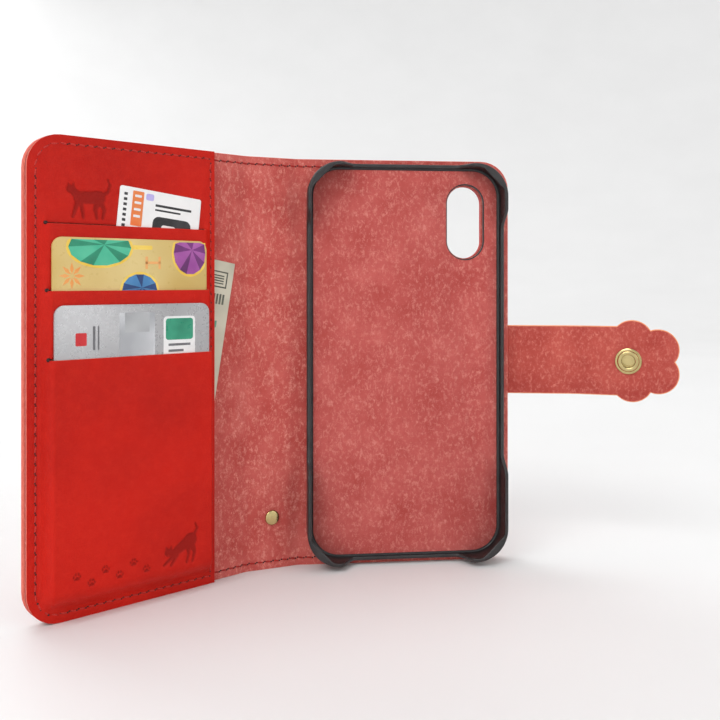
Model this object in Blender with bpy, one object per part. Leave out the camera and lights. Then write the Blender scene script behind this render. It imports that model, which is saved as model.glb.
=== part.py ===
"""Phone wallet case: a leather folio with a phone tray in its back half, card pockets in its front half and a snap strap.

Metres, +Z up. The case stands on its bottom edges, with its front half swung open towards -Y.
Every body is modelled as if the case lay open and flat in the XZ plane, then turned about its fold by its parent empty.
The origin is the middle of the back cover's bottom edge, in its length and in its thickness.
"""

import math

import bmesh
import bpy

# Driving dimensions
HEIGHT = 0.150
LEAF = 0.080  # each half, from its crease to its free edge
SPINE = 0.0197
LEATHER = 0.0016
CORNER = 0.0105
SEAM_INSET = 0.0027
REST_FOLD = math.radians(17.5)  # at each of the two creases; 90 degrees at both is closed
PHONE = (0.0714, 0.1440, 0.0077)  # the bay: width, height, thickness
CARD = (0.0540, 0.0856, 0.00076)

STRAP_THICK = 0.0018
STRAP_WIDE = 0.026
STRAP_ROOT_X = 0.0120  # where its sewn-down end starts
STRAP_REST = math.radians(12)
SNAP_GAP = 0.0022  # between the closed strap and the front cover
SNAP_FROM_EDGE = 0.0188

# Clearances
SKIN = 0.00015
GAP = 0.0003
FOLD_GAP = 0.0002
LINING_SETBACK = 0.0015

# Depths, measured inwards from a cover's outer face
LINING = (LEATHER + GAP, 0.0026)
PAD = (0.0029, 0.0032)
TRAY_FLOOR = (0.0034, 0.0042)
BED = (0.00435, 0.0048)
TRAY_LIP = (BED[1] + PHONE[2], 0.0131)
NOTE = (0.0028, 0.0030)
BACKING = (0.0032, 0.0036)

# Pocket panel: its levels are the heights of its front face above the backing
PANEL_THICK = 0.0007
PANEL_NEAR, PANEL_FAR = 0.0146, LEAF  # distances from the front crease
LEVELS = (0.00085, 0.00210, 0.00386, 0.00562)  # above the top slit, then below each slit
SLITS = (0.1227, 0.1021, 0.0811)
SLIT_HALF = 0.00035
POCKET_NEAR, POCKET_FAR = 0.0188, 0.0743
CARD_SHOWS = 0.0164
TICKET = (0.030, 0.066, 0.00025)
NOTE_SIZE = (0.052, 0.066)

# Places in the flat frame
BACK_CREASE = -LEAF / 2
FRONT_CREASE = BACK_CREASE - SPINE
FRONT_EDGE = FRONT_CREASE - LEAF
INNER_Y = -LEATHER / 2
OUTER_Y = LEATHER / 2
STRAP_Y = OUTER_Y + GAP
STRAP_CREASE = LEAF / 2 + 0.0006
STRAP_SPAN = STRAP_Y - INNER_Y + SPINE + LEATHER + SNAP_GAP
TIP_CREASE = STRAP_CREASE + STRAP_SPAN
SNAP_X = TIP_CREASE + (STRAP_CREASE - LEAF / 2) + SNAP_FROM_EDGE
STUD_X = FRONT_CREASE - (LEAF - SNAP_FROM_EDGE)
MIDDLE = HEIGHT / 2
CAMERA = (0.023, 0.127, 0.013, 0.027)  # x, z, width, height of the window in the back

RING_WIRE = 0.0009
RING_HALF = 0.0062
RING_DROP = 0.0086
BAR = (BACK_CREASE - SPINE / 2, OUTER_Y + 0.0026, 0.0105)
TAB = (0.0100, 0.0011, 0.0226)  # width, leather, top
RIVET_Z = 0.0186

RED = (0.62, 0.016, 0.010)
DARK_RED = (0.40, 0.012, 0.010)
PINK = (0.62, 0.15, 0.14)
BRASS = (0.75, 0.58, 0.28)
SMOKE = (0.08, 0.08, 0.09)


# Tools

def material(name, colour, roughness, metallic=0.0):
    made = bpy.data.materials.get(name)
    if made is None:
        made = bpy.data.materials.new(name)
        made.use_nodes = True
        shader = made.node_tree.nodes["Principled BSDF"]
        shader.inputs["Base Color"].default_value = (*colour, 1)
        shader.inputs["Roughness"].default_value = roughness
        shader.inputs["Metallic"].default_value = metallic
    return made


def leather():
    return material("leather", RED, 0.5)


def suede():
    return material("suede", PINK, 0.95)


def brass():
    return material("brass", BRASS, 0.25, 1.0)


def thread():
    return material("thread", DARK_RED, 0.8)


def body(name, parent, pivot, turn, axis="Z"):
    """An empty on a joint's axis. pivot is in the flat frame, and turn is the joint's angle at rest."""
    empty = bpy.data.objects.new(name, None)
    bpy.context.scene.collection.objects.link(empty)
    empty["pivot"] = pivot
    from_parent = pivot
    if parent is not None:
        empty.parent = parent
        from_parent = [a - b for a, b in zip(pivot, parent["pivot"])]
    empty.location = from_parent
    empty.rotation_euler["XYZ".index(axis)] = turn
    return empty


def add(name, mesh, owner, look, smooth=False):
    """Makes the object of a mesh that is drawn in the flat frame, and hangs it on its body."""
    obj = bpy.data.objects.new(name, mesh)
    bpy.context.scene.collection.objects.link(obj)
    if owner is not None:
        obj.parent = owner
        obj.location = [-x for x in owner["pivot"]]
    mesh.materials.append(look)
    if smooth:
        mesh.shade_smooth()
        mesh.set_sharp_from_angle(angle=math.radians(35))
    return obj


def mesh_of(name, bm):
    bmesh.ops.recalc_face_normals(bm, faces=bm.faces)
    mesh = bpy.data.meshes.new(name)
    bm.to_mesh(mesh)
    bm.free()
    return mesh


def extruded(name, outline, y0, y1):
    """A closed plate: the outline, as (x, z) points, from y0 to y1."""
    bm = bmesh.new()
    face = bm.faces.new([bm.verts.new((x, y0, z)) for x, z in outline])
    top = bmesh.ops.extrude_face_region(bm, geom=[face])
    moved = [v for v in top["geom"] if isinstance(v, bmesh.types.BMVert)]
    bmesh.ops.translate(bm, verts=moved, vec=(0, y1 - y0, 0))
    return mesh_of(name, bm)


def arc(cx, cz, radius, start, end, steps=8):
    """Points on a circle, with angles in degrees."""
    angles = [math.radians(start + (end - start) * i / steps) for i in range(steps + 1)]
    return [(cx + radius * math.cos(a), cz + radius * math.sin(a)) for a in angles]


def rounded(x0, x1, z0, z1, near=0.0, far=0.0, steps=8):
    """A rectangle whose corners at x0 have radius near, and those at x1 radius far."""
    points = []
    corners = ((x0, z0, near, 180, 1, 1), (x1, z0, far, 270, -1, 1),
               (x1, z1, far, 0, -1, -1), (x0, z1, near, 90, 1, -1))
    for x, z, r, start, sx, sz in corners:
        if r:
            points += arc(x + sx * r, z + sz * r, r, start, start + 90, steps)
        else:
            points.append((x, z))
    return points


def turned(name, profile, x, z, steps=28):
    """A solid turned about a line along Y through (x, z). profile runs from the axis back to it, as (radius, y)."""
    bm = bmesh.new()
    rings = []
    for radius, y in profile:
        if radius == 0:
            rings.append([bm.verts.new((x, y, z))])
            continue
        angles = [2 * math.pi * i / steps for i in range(steps)]
        rings.append([bm.verts.new((x + radius * math.cos(a), y, z + radius * math.sin(a))) for a in angles])
    for one, two in zip(rings, rings[1:]):
        for i in range(steps):
            j = (i + 1) % steps
            corners = [one[i % len(one)], one[j % len(one)], two[j % len(two)], two[i % len(two)]]
            bm.faces.new(list(dict.fromkeys(corners)))
    return mesh_of(name, bm)


def drum(name, x, z, radius, y0, y1, steps=28):
    return turned(name, [(0, y0), (radius, y0), (radius, y1), (0, y1)], x, z, steps)


def cut(obj, mesh, operation="DIFFERENCE"):
    """Cuts obj by a mesh, with a hidden helper that stays beside it."""
    cutter = bpy.data.objects.new("cutter_" + mesh.name, mesh)
    bpy.context.scene.collection.objects.link(cutter)
    cutter.parent = obj.parent
    cutter.location = obj.location
    cutter.hide_render = True
    cutter.display_type = "WIRE"
    modifier = obj.modifiers.new("cut", "BOOLEAN")
    modifier.operation = operation
    modifier.solver = "EXACT"
    modifier.object = cutter
    return obj


def inward(depth):
    """The Y of a depth below a cover's outer face."""
    return OUTER_Y - depth


def seam_strip(name, path, height, closed=False, wide=0.0005, thick=0.0003):
    """A thin band along (x, z) points. height gives the Y of its lower face at (x, z), and the sign of its growth."""
    count = len(path)
    bm = bmesh.new()
    sections = []
    for i, (x, z) in enumerate(path):
        a = path[(i - 1) % count] if closed or i else path[i]
        b = path[(i + 1) % count] if closed or i < count - 1 else path[i]
        length = math.hypot(b[0] - a[0], b[1] - a[1])
        nx, nz = -(b[1] - a[1]) / length * wide / 2, (b[0] - a[0]) / length * wide / 2
        y, side = height(x, z)
        sections.append([bm.verts.new((x + s * nx, y + side * up * thick, z + s * nz))
                         for s, up in ((-1, 0), (1, 0), (1, 1), (-1, 1))])
    for i in range(count if closed else count - 1):
        one, two = sections[i], sections[(i + 1) % count]
        for k in range(4):
            bm.faces.new([one[k], one[(k + 1) % 4], two[(k + 1) % 4], two[k]])
    if not closed:
        bm.faces.new(sections[0])
        bm.faces.new(sections[-1])
    return mesh_of(name, bm)


def window(name, y0, y1, grow=0.0):
    """The camera window, as a cutter."""
    x, z, wide, high = CAMERA
    half = wide / 2 + grow
    return extruded(name, rounded(x - half, x + half, z - high / 2 - grow, z + high / 2 + grow, half, half), y0, y1)


def ring_path(inset):
    """The seam along a half's top, free side and bottom, from crease to crease, as distances from the crease."""
    r = CORNER - inset
    edge = LEAF - inset
    lower = arc(edge - r, inset + r, r, 270, 360)
    upper = arc(edge - r, HEIGHT - inset - r, r, 0, 90)
    return [(0.0012, inset)] + lower + upper + [(0.0012, HEIGHT - inset)]


# Back half

def back_cover(owner):
    outline = rounded(BACK_CREASE + FOLD_GAP, LEAF / 2, 0, HEIGHT, far=CORNER)
    obj = add("back_cover", extruded("back_cover", outline, INNER_Y, OUTER_Y), owner, leather())
    return cut(obj, window("back_window", 2 * INNER_Y, 2 * OUTER_Y))


def back_lining(owner):
    outline = rounded(BACK_CREASE + LINING_SETBACK, LEAF / 2, 0, HEIGHT, far=CORNER)
    obj = add("back_lining", extruded("back_lining", outline, inward(LINING[1]), inward(LINING[0])), owner, suede())
    return cut(obj, window("lining_window", inward(0.004), 0))


def back_threads(owner):
    """The seam round the back cover, in two runs that stop at the strap's root."""
    path = [(BACK_CREASE + u, z) for u, z in ring_path(SEAM_INSET)]
    clear = STRAP_WIDE / 2 + 0.0005
    lower = [p for p in path if p[1] < MIDDLE]
    upper = [p for p in path if p[1] > MIDDLE]
    side = LEAF / 2 - SEAM_INSET
    lower.append((side, MIDDLE - clear))
    upper.insert(0, (side, MIDDLE + clear))
    for name, run in (("back_seam_lower", lower), ("back_seam_upper", upper)):
        add(name, seam_strip(name, run, lambda x, z: (OUTER_Y + SKIN, 1)), owner, thread())


def bond_pad(owner):
    outline = rounded(-0.030, 0.030, 0.015, 0.105, 0.004, 0.004, 4)
    look = material("bond_film", (0.75, 0.72, 0.66), 0.6)
    return add("tray_bond_pad", extruded("tray_bond_pad", outline, inward(PAD[1]), inward(PAD[0])), owner, look)


def phone_tray(owner):
    """A hard shell with a floor, corner walls whose lips hold the phone, and sides open for buttons and plugs."""
    wall = 0.0012
    middle = 0.0005
    x0, x1 = middle - PHONE[0] / 2, middle + PHONE[0] / 2
    z0, z1 = MIDDLE - PHONE[1] / 2, MIDDLE + PHONE[1] / 2
    bay_round = 0.0108
    shell = rounded(x0 - wall, x1 + wall, z0 - wall, z1 + wall, bay_round + wall, bay_round + wall)
    look = material("tray_plastic", SMOKE, 0.35)
    obj = add("phone_tray", extruded("phone_tray", shell, inward(TRAY_LIP[1]), inward(TRAY_FLOOR[0])), owner, look)
    bay = rounded(x0, x1, z0, z1, bay_round, bay_round)
    cut(obj, extruded("bay", bay, inward(TRAY_LIP[0]), inward(TRAY_FLOOR[1])))
    lip = 0.0085
    mouth = [(x0 + lip, z0), (x1 - lip, z0), (x1, z0 + lip), (x1, z1 - lip),
             (x1 - lip, z1), (x0 + lip, z1), (x0, z1 - lip), (x0, z0 + lip)]
    cut(obj, extruded("mouth", mouth, inward(TRAY_LIP[1] + 0.001), inward(TRAY_LIP[0] - 0.001)))
    sides = rounded(x0 - 0.01, x1 + 0.01, 0.040, 0.125)
    cut(obj, extruded("side_gaps", sides, inward(TRAY_LIP[1] + 0.001), inward(0.0070)))
    ends = rounded(middle - 0.019, middle + 0.019, -0.01, HEIGHT + 0.01)
    cut(obj, extruded("end_gaps", ends, inward(TRAY_LIP[1] + 0.001), inward(TRAY_FLOOR[1])))
    return cut(obj, window("tray_window", inward(0.006), 0, 0.0004))


def tray_lining(owner):
    """A soft sheet on the tray's floor, which the phone's back lies on."""
    outline = rounded(0.0005 - 0.0345, 0.0005 + 0.0345, 0.0040, 0.1460, 0.0095, 0.0095)
    obj = add("tray_lining", extruded("tray_lining", outline, inward(BED[1]), inward(BED[0])), owner, suede())
    return cut(obj, window("bed_window", inward(0.006), inward(0.0035), 0.0008))


# Spine

def spine_cover(owner):
    outline = rounded(FRONT_CREASE + FOLD_GAP, BACK_CREASE - FOLD_GAP, 0, HEIGHT)
    obj = add("spine_cover", extruded("spine_cover", outline, INNER_Y, OUTER_Y), owner, leather())
    return cut(obj, drum("spine_rivet_hole", BAR[0], RIVET_Z, 0.0015, 2 * INNER_Y, 2 * OUTER_Y, 16))


def spine_lining(owner):
    outline = rounded(FRONT_CREASE + LINING_SETBACK, BACK_CREASE - LINING_SETBACK, 0, HEIGHT)
    obj = add("spine_lining", extruded("spine_lining", outline, inward(LINING[1]), inward(LINING[0])), owner, suede())
    return cut(obj, drum("lining_rivet_hole", BAR[0], RIVET_Z, 0.0015, inward(0.004), 0, 16))


def ring_tab(owner):
    """A strip folded round the ring's bar: down the spine, round the bar and back up outside itself."""
    wide, thick, top = TAB
    turn = 0.00175
    near = BAR[1] - turn
    far = near + thick + GAP
    path = [(near, top), (near, 0.0165)]
    path += arc(BAR[1], BAR[2], turn, 180, 360, 12)
    path += [(BAR[1] + turn - 0.0003, BAR[2] + 0.0015), (far + 0.0006, 0.0138), (far, 0.0152), (far, top)]
    sides = [[], []]
    for i, (y, z) in enumerate(path):
        a, b = path[max(i - 1, 0)], path[min(i + 1, len(path) - 1)]
        length = math.hypot(b[0] - a[0], b[1] - a[1])
        ny, nz = -(b[1] - a[1]) / length * thick / 2, (b[0] - a[0]) / length * thick / 2
        sides[0].append((y + ny, z + nz))
        sides[1].append((y - ny, z - nz))
    bm = bmesh.new()
    rows = [[bm.verts.new((x, y, z)) for y, z in side]
            for x in (BAR[0] - wide / 2, BAR[0] + wide / 2) for side in sides]
    (a, b, c, d), last = rows, len(path) - 1
    for i in range(last):
        for one, two in ((a, b), (b, d), (d, c), (c, a)):
            bm.faces.new([one[i], one[i + 1], two[i + 1], two[i]])
    for i in (0, last):
        bm.faces.new([a[i], b[i], d[i], c[i]])
    obj = add("ring_tab", mesh_of("ring_tab", bm), owner, leather())
    return cut(obj, drum("tab_rivet_hole", BAR[0], RIVET_Z, 0.0015, 0, 0.01, 16))


def tab_rivet(owner):
    """Holds the tab to the spine: a domed head outside, a shank, and a flat head inside."""
    shank, head = 0.0012, 0.0027
    face = OUTER_Y + 2 * TAB[1] + 2 * GAP + SKIN + 0.0001
    inside = inward(LINING[1]) - SKIN
    profile = [(0, inside - 0.0006), (head, inside - 0.0006), (head, inside), (shank, inside), (shank, face),
               (head, face), (head * 0.9, face + 0.0005), (head * 0.55, face + 0.0010), (0, face + 0.0012)]
    return add("tab_rivet", turned("tab_rivet", profile, BAR[0], RIVET_Z, 20), owner, brass(), True)


def d_ring(owner):
    """A D of round wire: a straight bar in the tab's eye, and a loop that hangs below it."""
    loop = [(RING_HALF * math.cos(a), -RING_DROP * math.sin(a))
            for a in (math.pi * i / 16 for i in range(17))]
    curve = bpy.data.curves.new("d_ring", "CURVE")
    curve.dimensions = "3D"
    curve.bevel_depth = RING_WIRE
    curve.bevel_resolution = 2
    spline = curve.splines.new("POLY")
    spline.points.add(len(loop) - 1)
    spline.use_cyclic_u = True
    for point, (x, z) in zip(spline.points, loop):
        point.co = (x, 0, z, 1)
    curve.materials.append(brass())
    obj = bpy.data.objects.new("d_ring", curve)
    bpy.context.scene.collection.objects.link(obj)
    obj.parent = owner
    return obj


# Front half

def leaf(u):
    """The X of a distance from the front crease."""
    return FRONT_CREASE - u


def front_cover(owner):
    outline = rounded(FRONT_EDGE, FRONT_CREASE - FOLD_GAP, 0, HEIGHT, near=CORNER)
    obj = add("front_cover", extruded("front_cover", outline, INNER_Y, OUTER_Y), owner, leather())
    return cut(obj, drum("stud_hole", STUD_X, MIDDLE, 0.0015, 2 * INNER_Y, 2 * OUTER_Y, 16))


def front_lining(owner):
    outline = rounded(FRONT_EDGE, FRONT_CREASE - LINING_SETBACK, 0, HEIGHT, near=CORNER)
    obj = add("front_lining", extruded("front_lining", outline, inward(LINING[1]), inward(LINING[0])), owner, suede())
    return cut(obj, drum("post_room", STUD_X, MIDDLE, 0.005, inward(0.004), 0, 20))


def front_thread(owner):
    path = [(leaf(u), z) for u, z in ring_path(SEAM_INSET)]
    mesh = seam_strip("front_seam_thread", path, lambda x, z: (OUTER_Y + SKIN, 1))
    return add("front_seam_thread", mesh, owner, thread())


def pocket_backing(owner):
    outline = rounded(FRONT_EDGE, leaf(PANEL_NEAR), 0, HEIGHT, near=CORNER)
    look = material("pocket_cloth", (0.30, 0.03, 0.03), 0.9)
    y0, y1 = inward(BACKING[1]), inward(BACKING[0])
    return add("pocket_backing", extruded("pocket_backing", outline, y0, y1), owner, look)


def between(value, low, high):
    """0 at low and below, 1 at high and above."""
    return min(1.0, max(0.0, (value - low) / (high - low)))


def panel_level(u, z, section, back):
    """The height of the panel's front or back face above the backing: sewn down at its edges, raised over its pockets."""
    lag = 0.0006 if back else 0.0
    rise = between(u, 0.0166 + lag, 0.0182 + lag) * (1 - between(u, 0.0749 - lag, 0.0772 - lag))
    rise *= between(z, 0.0040 + lag, 0.0084 + lag)
    level = LEVELS[0] + rise * (LEVELS[section] - LEVELS[0])
    return level - PANEL_THICK if back else level


def pocket_panel(owner):
    """One sheet with three slits. Each strip below a slit stands in front of the card, and the strip above behind it."""
    across = (PANEL_NEAR, 0.0166, 0.0172, 0.0182, POCKET_NEAR, POCKET_FAR, 0.0749, 0.0766, 0.0772, PANEL_FAR)
    bottom = SLITS[-1]
    rows = [(z, 3) for z in (0, 0.0040, 0.0046, 0.0084, 0.0090, bottom - SLIT_HALF)]
    for section, slit in zip((2, 1, 0), SLITS[::-1]):
        above = SLITS[::-1][3 - section] - SLIT_HALF if section else HEIGHT
        rows += [(slit + SLIT_HALF, section), (above, section)]
    slit_rows = [i for i in range(len(rows) - 1) if rows[i][1] != rows[i + 1][1]]
    bm = bmesh.new()
    faces = []
    for back in (False, True):
        faces.append([[bm.verts.new((leaf(u), inward(BACKING[1] + panel_level(u, z, s, back)), z))
                       for u in across] for z, s in rows])
    front, rear = faces
    slit_columns = range(across.index(POCKET_NEAR), across.index(POCKET_FAR))
    there = {(i, j) for i in range(len(rows) - 1) for j in range(len(across) - 1)
             if not (i in slit_rows and j in slit_columns)}
    for i, j in there:
        for sheet in faces:
            bm.faces.new([sheet[i][j], sheet[i][j + 1], sheet[i + 1][j + 1], sheet[i + 1][j]])
        for di, dj, a, b in ((0, -1, (0, 0), (1, 0)), (0, 1, (0, 1), (1, 1)),
                             (-1, 0, (0, 0), (0, 1)), (1, 0, (1, 0), (1, 1))):
            if (i + di, j + dj) not in there:
                one, two = (i + a[0], j + a[1]), (i + b[0], j + b[1])
                bm.faces.new([front[one[0]][one[1]], front[two[0]][two[1]],
                              rear[two[0]][two[1]], rear[one[0]][one[1]]])
    obj = add("pocket_panel", mesh_of("pocket_panel", bm), owner, leather())
    corners = rounded(FRONT_EDGE, leaf(0.010), 0, HEIGHT, near=CORNER)
    return cut(obj, extruded("panel_outline", corners, inward(0.02), inward(0.002)), "INTERSECT")


def pocket_thread(owner):
    """The seam beside the spine, which joins the panel to its backing only, so that a note goes in behind."""
    u = PANEL_NEAR + 0.0012
    height = inward(BACKING[1] + LEVELS[0]) - SKIN
    path = [(leaf(u), 0.0015), (leaf(u), HEIGHT - 0.0015)]
    mesh = seam_strip("pocket_seam_thread", path, lambda x, z: (height, -1))
    return add("pocket_seam_thread", mesh, owner, thread())


def card_depth(section, thick):
    """The near and far depth of a card that lies behind the strip of the panel below its slit."""
    far = BACKING[1] + LEVELS[section] - PANEL_THICK - SKIN
    return far - thick, far


def card(owner, name, section, colour, near=0.0191):
    d0, d1 = card_depth(section, CARD[2])
    top = SLITS[section - 1] + CARD_SHOWS
    outline = rounded(leaf(near + CARD[0]), leaf(near), top - CARD[1], top, 0.0032, 0.0032, 5)
    look = material(name, colour, 0.3)
    return add(name, extruded(name, outline, inward(d1), inward(d0)), owner, look)


def tilted(points, cx, cz, degrees):
    """The points turned about (cx, cz)."""
    c, s = math.cos(math.radians(degrees)), math.sin(math.radians(degrees))
    return [(cx + (x - cx) * c - (z - cz) * s, cz + (x - cx) * s + (z - cz) * c) for x, z in points]


def ticket(owner):
    d0, d1 = card_depth(1, TICKET[2])
    top = 0.1345
    x = leaf(0.0385)
    outline = rounded(x - TICKET[0] / 2, x + TICKET[0] / 2, top - TICKET[1], top, 0.0008, 0.0008, 3)
    outline = tilted(outline, x, top - TICKET[1] / 2, -6)
    look = material("ticket", (0.85, 0.84, 0.82), 0.6)
    return add("ticket", extruded("ticket", outline, inward(d1), inward(d0)), owner, look)


def banknote(owner):
    """A folded note, tilted, whose top corner shows beside the pocket panel."""
    corner_u, corner_z, tilt = 0.0052, 0.1110, -10
    x, z = leaf(corner_u), corner_z
    outline = rounded(x - NOTE_SIZE[0], x, z - NOTE_SIZE[1], z)
    outline = tilted(outline, x, z, tilt)
    look = material("banknote", (0.62, 0.60, 0.50), 0.8)
    return add("banknote", extruded("banknote", outline, inward(NOTE[1]), inward(NOTE[0])), owner, look)


def card_pocket(owner, section, bottom):
    """The cloth behind one card, with a hem at its foot that the card rests on."""
    cloth = 0.00035
    level = LEVELS[section - 1] - PANEL_THICK / 2
    y_back = inward(BACKING[1] + level - cloth / 2)
    y_front = inward(BACKING[1] + level + cloth / 2)
    hem_front = inward(card_depth(section, 0.0002)[1])
    x0, x1 = leaf(POCKET_FAR - GAP), leaf(POCKET_NEAR + GAP)
    top = SLITS[section - 1] - GAP
    hem = 0.0021
    name = f"card_pocket_{section}"
    bm = bmesh.new()
    profile = [(y_back, bottom), (hem_front, bottom), (hem_front, bottom + hem), (y_front, bottom + hem),
               (y_front, top), (y_back, top)]
    ends = [[bm.verts.new((x, y, z)) for y, z in profile] for x in (x0, x1)]
    for end in ends:
        bm.faces.new(end)
    for i in range(len(profile)):
        j = (i + 1) % len(profile)
        bm.faces.new([ends[0][i], ends[0][j], ends[1][j], ends[1][i]])
    look = material("pocket_cloth", (0.30, 0.03, 0.03), 0.9)
    return add(name, mesh_of(name, bm), owner, look)


def snap_stud(owner):
    """The ball half of the snap, outside the front cover."""
    base = OUTER_Y + SKIN
    profile = [(0, base + 0.0014), (0.0014, base + 0.0014), (0.0014, base), (0.0045, base),
               (0.0045, base + 0.0003), (0.0040, base + 0.0005), (0.0016, base + 0.0007),
               (0.0021, base + 0.0014), (0.0019, base + 0.0020), (0.0012, base + 0.00235), (0, base + 0.00235)]
    return add("snap_stud", turned("snap_stud", profile, STUD_X, MIDDLE), owner, brass(), True)


def snap_post(owner):
    """The rivet that holds the stud, with its flange under the leather."""
    y = INNER_Y - SKIN
    profile = [(0, y - 0.0005), (0.0042, y - 0.0005), (0.0042, y), (0.0012, y),
               (0.0012, OUTER_Y + SKIN + 0.0012), (0, OUTER_Y + SKIN + 0.0012)]
    return add("snap_post", turned("snap_post", profile, STUD_X, MIDDLE), owner, brass(), True)


# Strap



def strap_root(owner):
    z0, z1 = MIDDLE - STRAP_WIDE / 2, MIDDLE + STRAP_WIDE / 2
    outline = rounded(STRAP_ROOT_X, STRAP_CREASE - FOLD_GAP, z0, z1, near=0.006)
    mesh = extruded("strap_root", outline, STRAP_Y, STRAP_Y + STRAP_THICK)
    return add("strap_root", mesh, owner, leather())


def strap_thread(owner):
    """A closed seam that holds the strap's root to the back cover."""
    z0, z1 = MIDDLE - STRAP_WIDE / 2, MIDDLE + STRAP_WIDE / 2
    inset = 0.0025
    path = rounded(STRAP_ROOT_X + inset, LEAF / 2 - inset, z0 + inset, z1 - inset, 0.0035, 0.001, 5)
    y = STRAP_Y + STRAP_THICK + SKIN
    mesh = seam_strip("strap_root_thread", path, lambda x, z: (y, 1), closed=True)
    return add("strap_root_thread", mesh, owner, thread())


def strap_edge(owner):
    z0, z1 = MIDDLE - STRAP_WIDE / 2, MIDDLE + STRAP_WIDE / 2
    outline = rounded(STRAP_CREASE + FOLD_GAP, TIP_CREASE - FOLD_GAP, z0, z1)
    mesh = extruded("strap_edge", outline, STRAP_Y, STRAP_Y + STRAP_THICK)
    return add("strap_edge", mesh, owner, leather())


def crossing(a, b):
    """The outer of the two points where circles (x, z, radius) meet."""
    dx, dz = b[0] - a[0], b[1] - a[1]
    apart = math.hypot(dx, dz)
    along = (a[2] ** 2 - b[2] ** 2 + apart ** 2) / (2 * apart)
    off = math.sqrt(a[2] ** 2 - along ** 2)
    return (a[0] + (along * dx - off * dz) / apart, a[1] + (along * dz + off * dx) / apart)


def petal(circle, start, end, steps=9):
    """The arc of a circle between two points on it, clockwise."""
    a = math.degrees(math.atan2(start[1] - circle[1], start[0] - circle[0]))
    b = math.degrees(math.atan2(end[1] - circle[1], end[0] - circle[0]))
    if b > a:
        b -= 360
    return arc(*circle, a, b, steps)


def flower_outline():
    """The strap's end: a band that opens into four petals, as (distance from the tip's crease, z) about the middle."""
    side = (0.0208, 0.0077, 0.0076)
    end = (0.0300, 0.0045, 0.0075)
    half = STRAP_WIDE / 2
    first = (side[0] - math.sqrt(side[2] ** 2 - (half - side[1]) ** 2), half)
    notch = crossing(side, end)
    tip = (end[0] + math.sqrt(end[2] ** 2 - end[1] ** 2), 0.0)
    upper = petal(side, first, notch) + petal(end, notch, tip)[1:]
    lower = [(x, -z) for x, z in reversed(upper[:-1])]
    return [(FOLD_GAP, half)] + upper + lower + [(FOLD_GAP, -half)]


def strap_tip(owner):
    outline = [(TIP_CREASE + p, MIDDLE + z) for p, z in flower_outline()]
    obj = add("strap_tip", extruded("strap_tip", outline, STRAP_Y, STRAP_Y + STRAP_THICK), owner, leather())
    return cut(obj, drum("cap_hole", SNAP_X, MIDDLE, 0.0032, 0, 0.01, 24))


def snap_cap(owner):
    """The domed head outside the strap, with the tube that goes through the leather."""
    face = STRAP_Y + STRAP_THICK + SKIN
    radius, high, rim = 0.0064, 0.0034, 0.0007
    dome = [(radius * math.sin(a), face + rim + (high - rim) * math.cos(a))
            for a in (math.pi / 2 * i / 7 for i in range(8))]
    profile = dome + [(radius, face + 0.0002), (radius - 0.0002, face), (0.0029, face), (0.0029, STRAP_Y),
                      (0.0024, STRAP_Y), (0.0024, face + 0.0012), (0, face + 0.0012)]
    profile[0] = (0, profile[0][1])
    return add("snap_cap", turned("snap_cap", profile, SNAP_X, MIDDLE, 36), owner, brass(), True)


def snap_socket(owner):
    """The ring half of the snap, inside the strap, which springs over the stud."""
    y = STRAP_Y - SKIN
    outer, bore, deep = 0.0048, 0.0024, 0.0011
    bm = bmesh.new()
    steps = 28
    profile = [(bore, y), (outer, y), (outer, y - deep * 0.6), (outer * 0.85, y - deep), (bore, y - deep)]
    rings = [[bm.verts.new((SNAP_X + r * math.cos(2 * math.pi * i / steps), v,
                            MIDDLE + r * math.sin(2 * math.pi * i / steps))) for i in range(steps)]
             for r, v in profile]
    for k, one in enumerate(rings):
        two = rings[(k + 1) % len(rings)]
        for i in range(steps):
            j = (i + 1) % steps
            bm.faces.new([one[i], one[j], two[j], two[i]])
    return add("snap_socket", mesh_of("snap_socket", bm), owner, brass(), True)


# Assembly

def main():
    for obj in list(bpy.data.objects):
        bpy.data.objects.remove(obj)
    back = body("back_half", None, (0, 0, 0), 0)
    spine = body("spine", back, (BACK_CREASE, INNER_Y, 0), REST_FOLD)
    front = body("front_half", spine, (FRONT_CREASE, INNER_Y, 0), REST_FOLD)
    ring = body("ring_swing", spine, BAR, 0)
    edge = body("strap_edge_fold", back, (STRAP_CREASE, STRAP_Y, 0), -STRAP_REST)
    tip = body("strap_tip_fold", edge, (TIP_CREASE, STRAP_Y, 0), -STRAP_REST)
    for build in (back_cover, back_lining, back_threads, bond_pad, phone_tray, tray_lining, strap_root, strap_thread):
        build(back)
    for build in (spine_cover, spine_lining, ring_tab, tab_rivet):
        build(spine)
    d_ring(ring)
    for build in (front_cover, front_lining, front_thread, pocket_backing, pocket_panel, pocket_thread,
                  ticket, banknote, snap_stud, snap_post):
        build(front)
    card(front, "card_gold", 2, (0.62, 0.50, 0.22))
    card(front, "card_silver", 3, (0.62, 0.62, 0.64))
    card_pocket(front, 1, 0.0644)
    card_pocket(front, 2, SLITS[1] + CARD_SHOWS - CARD[1] - GAP - 0.0021)
    card_pocket(front, 3, SLITS[2] + CARD_SHOWS - CARD[1] - GAP - 0.0021)
    strap_edge(edge)
    for build in (strap_tip, snap_cap, snap_socket):
        build(tip)


main()
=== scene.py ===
"""The looks of a phone wallet case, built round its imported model. Metres, in the model's own frame.

Pieces are drawn in the flat frame, with the case laid open in the XZ plane, and then folded to their places.
"""

import math

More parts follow.
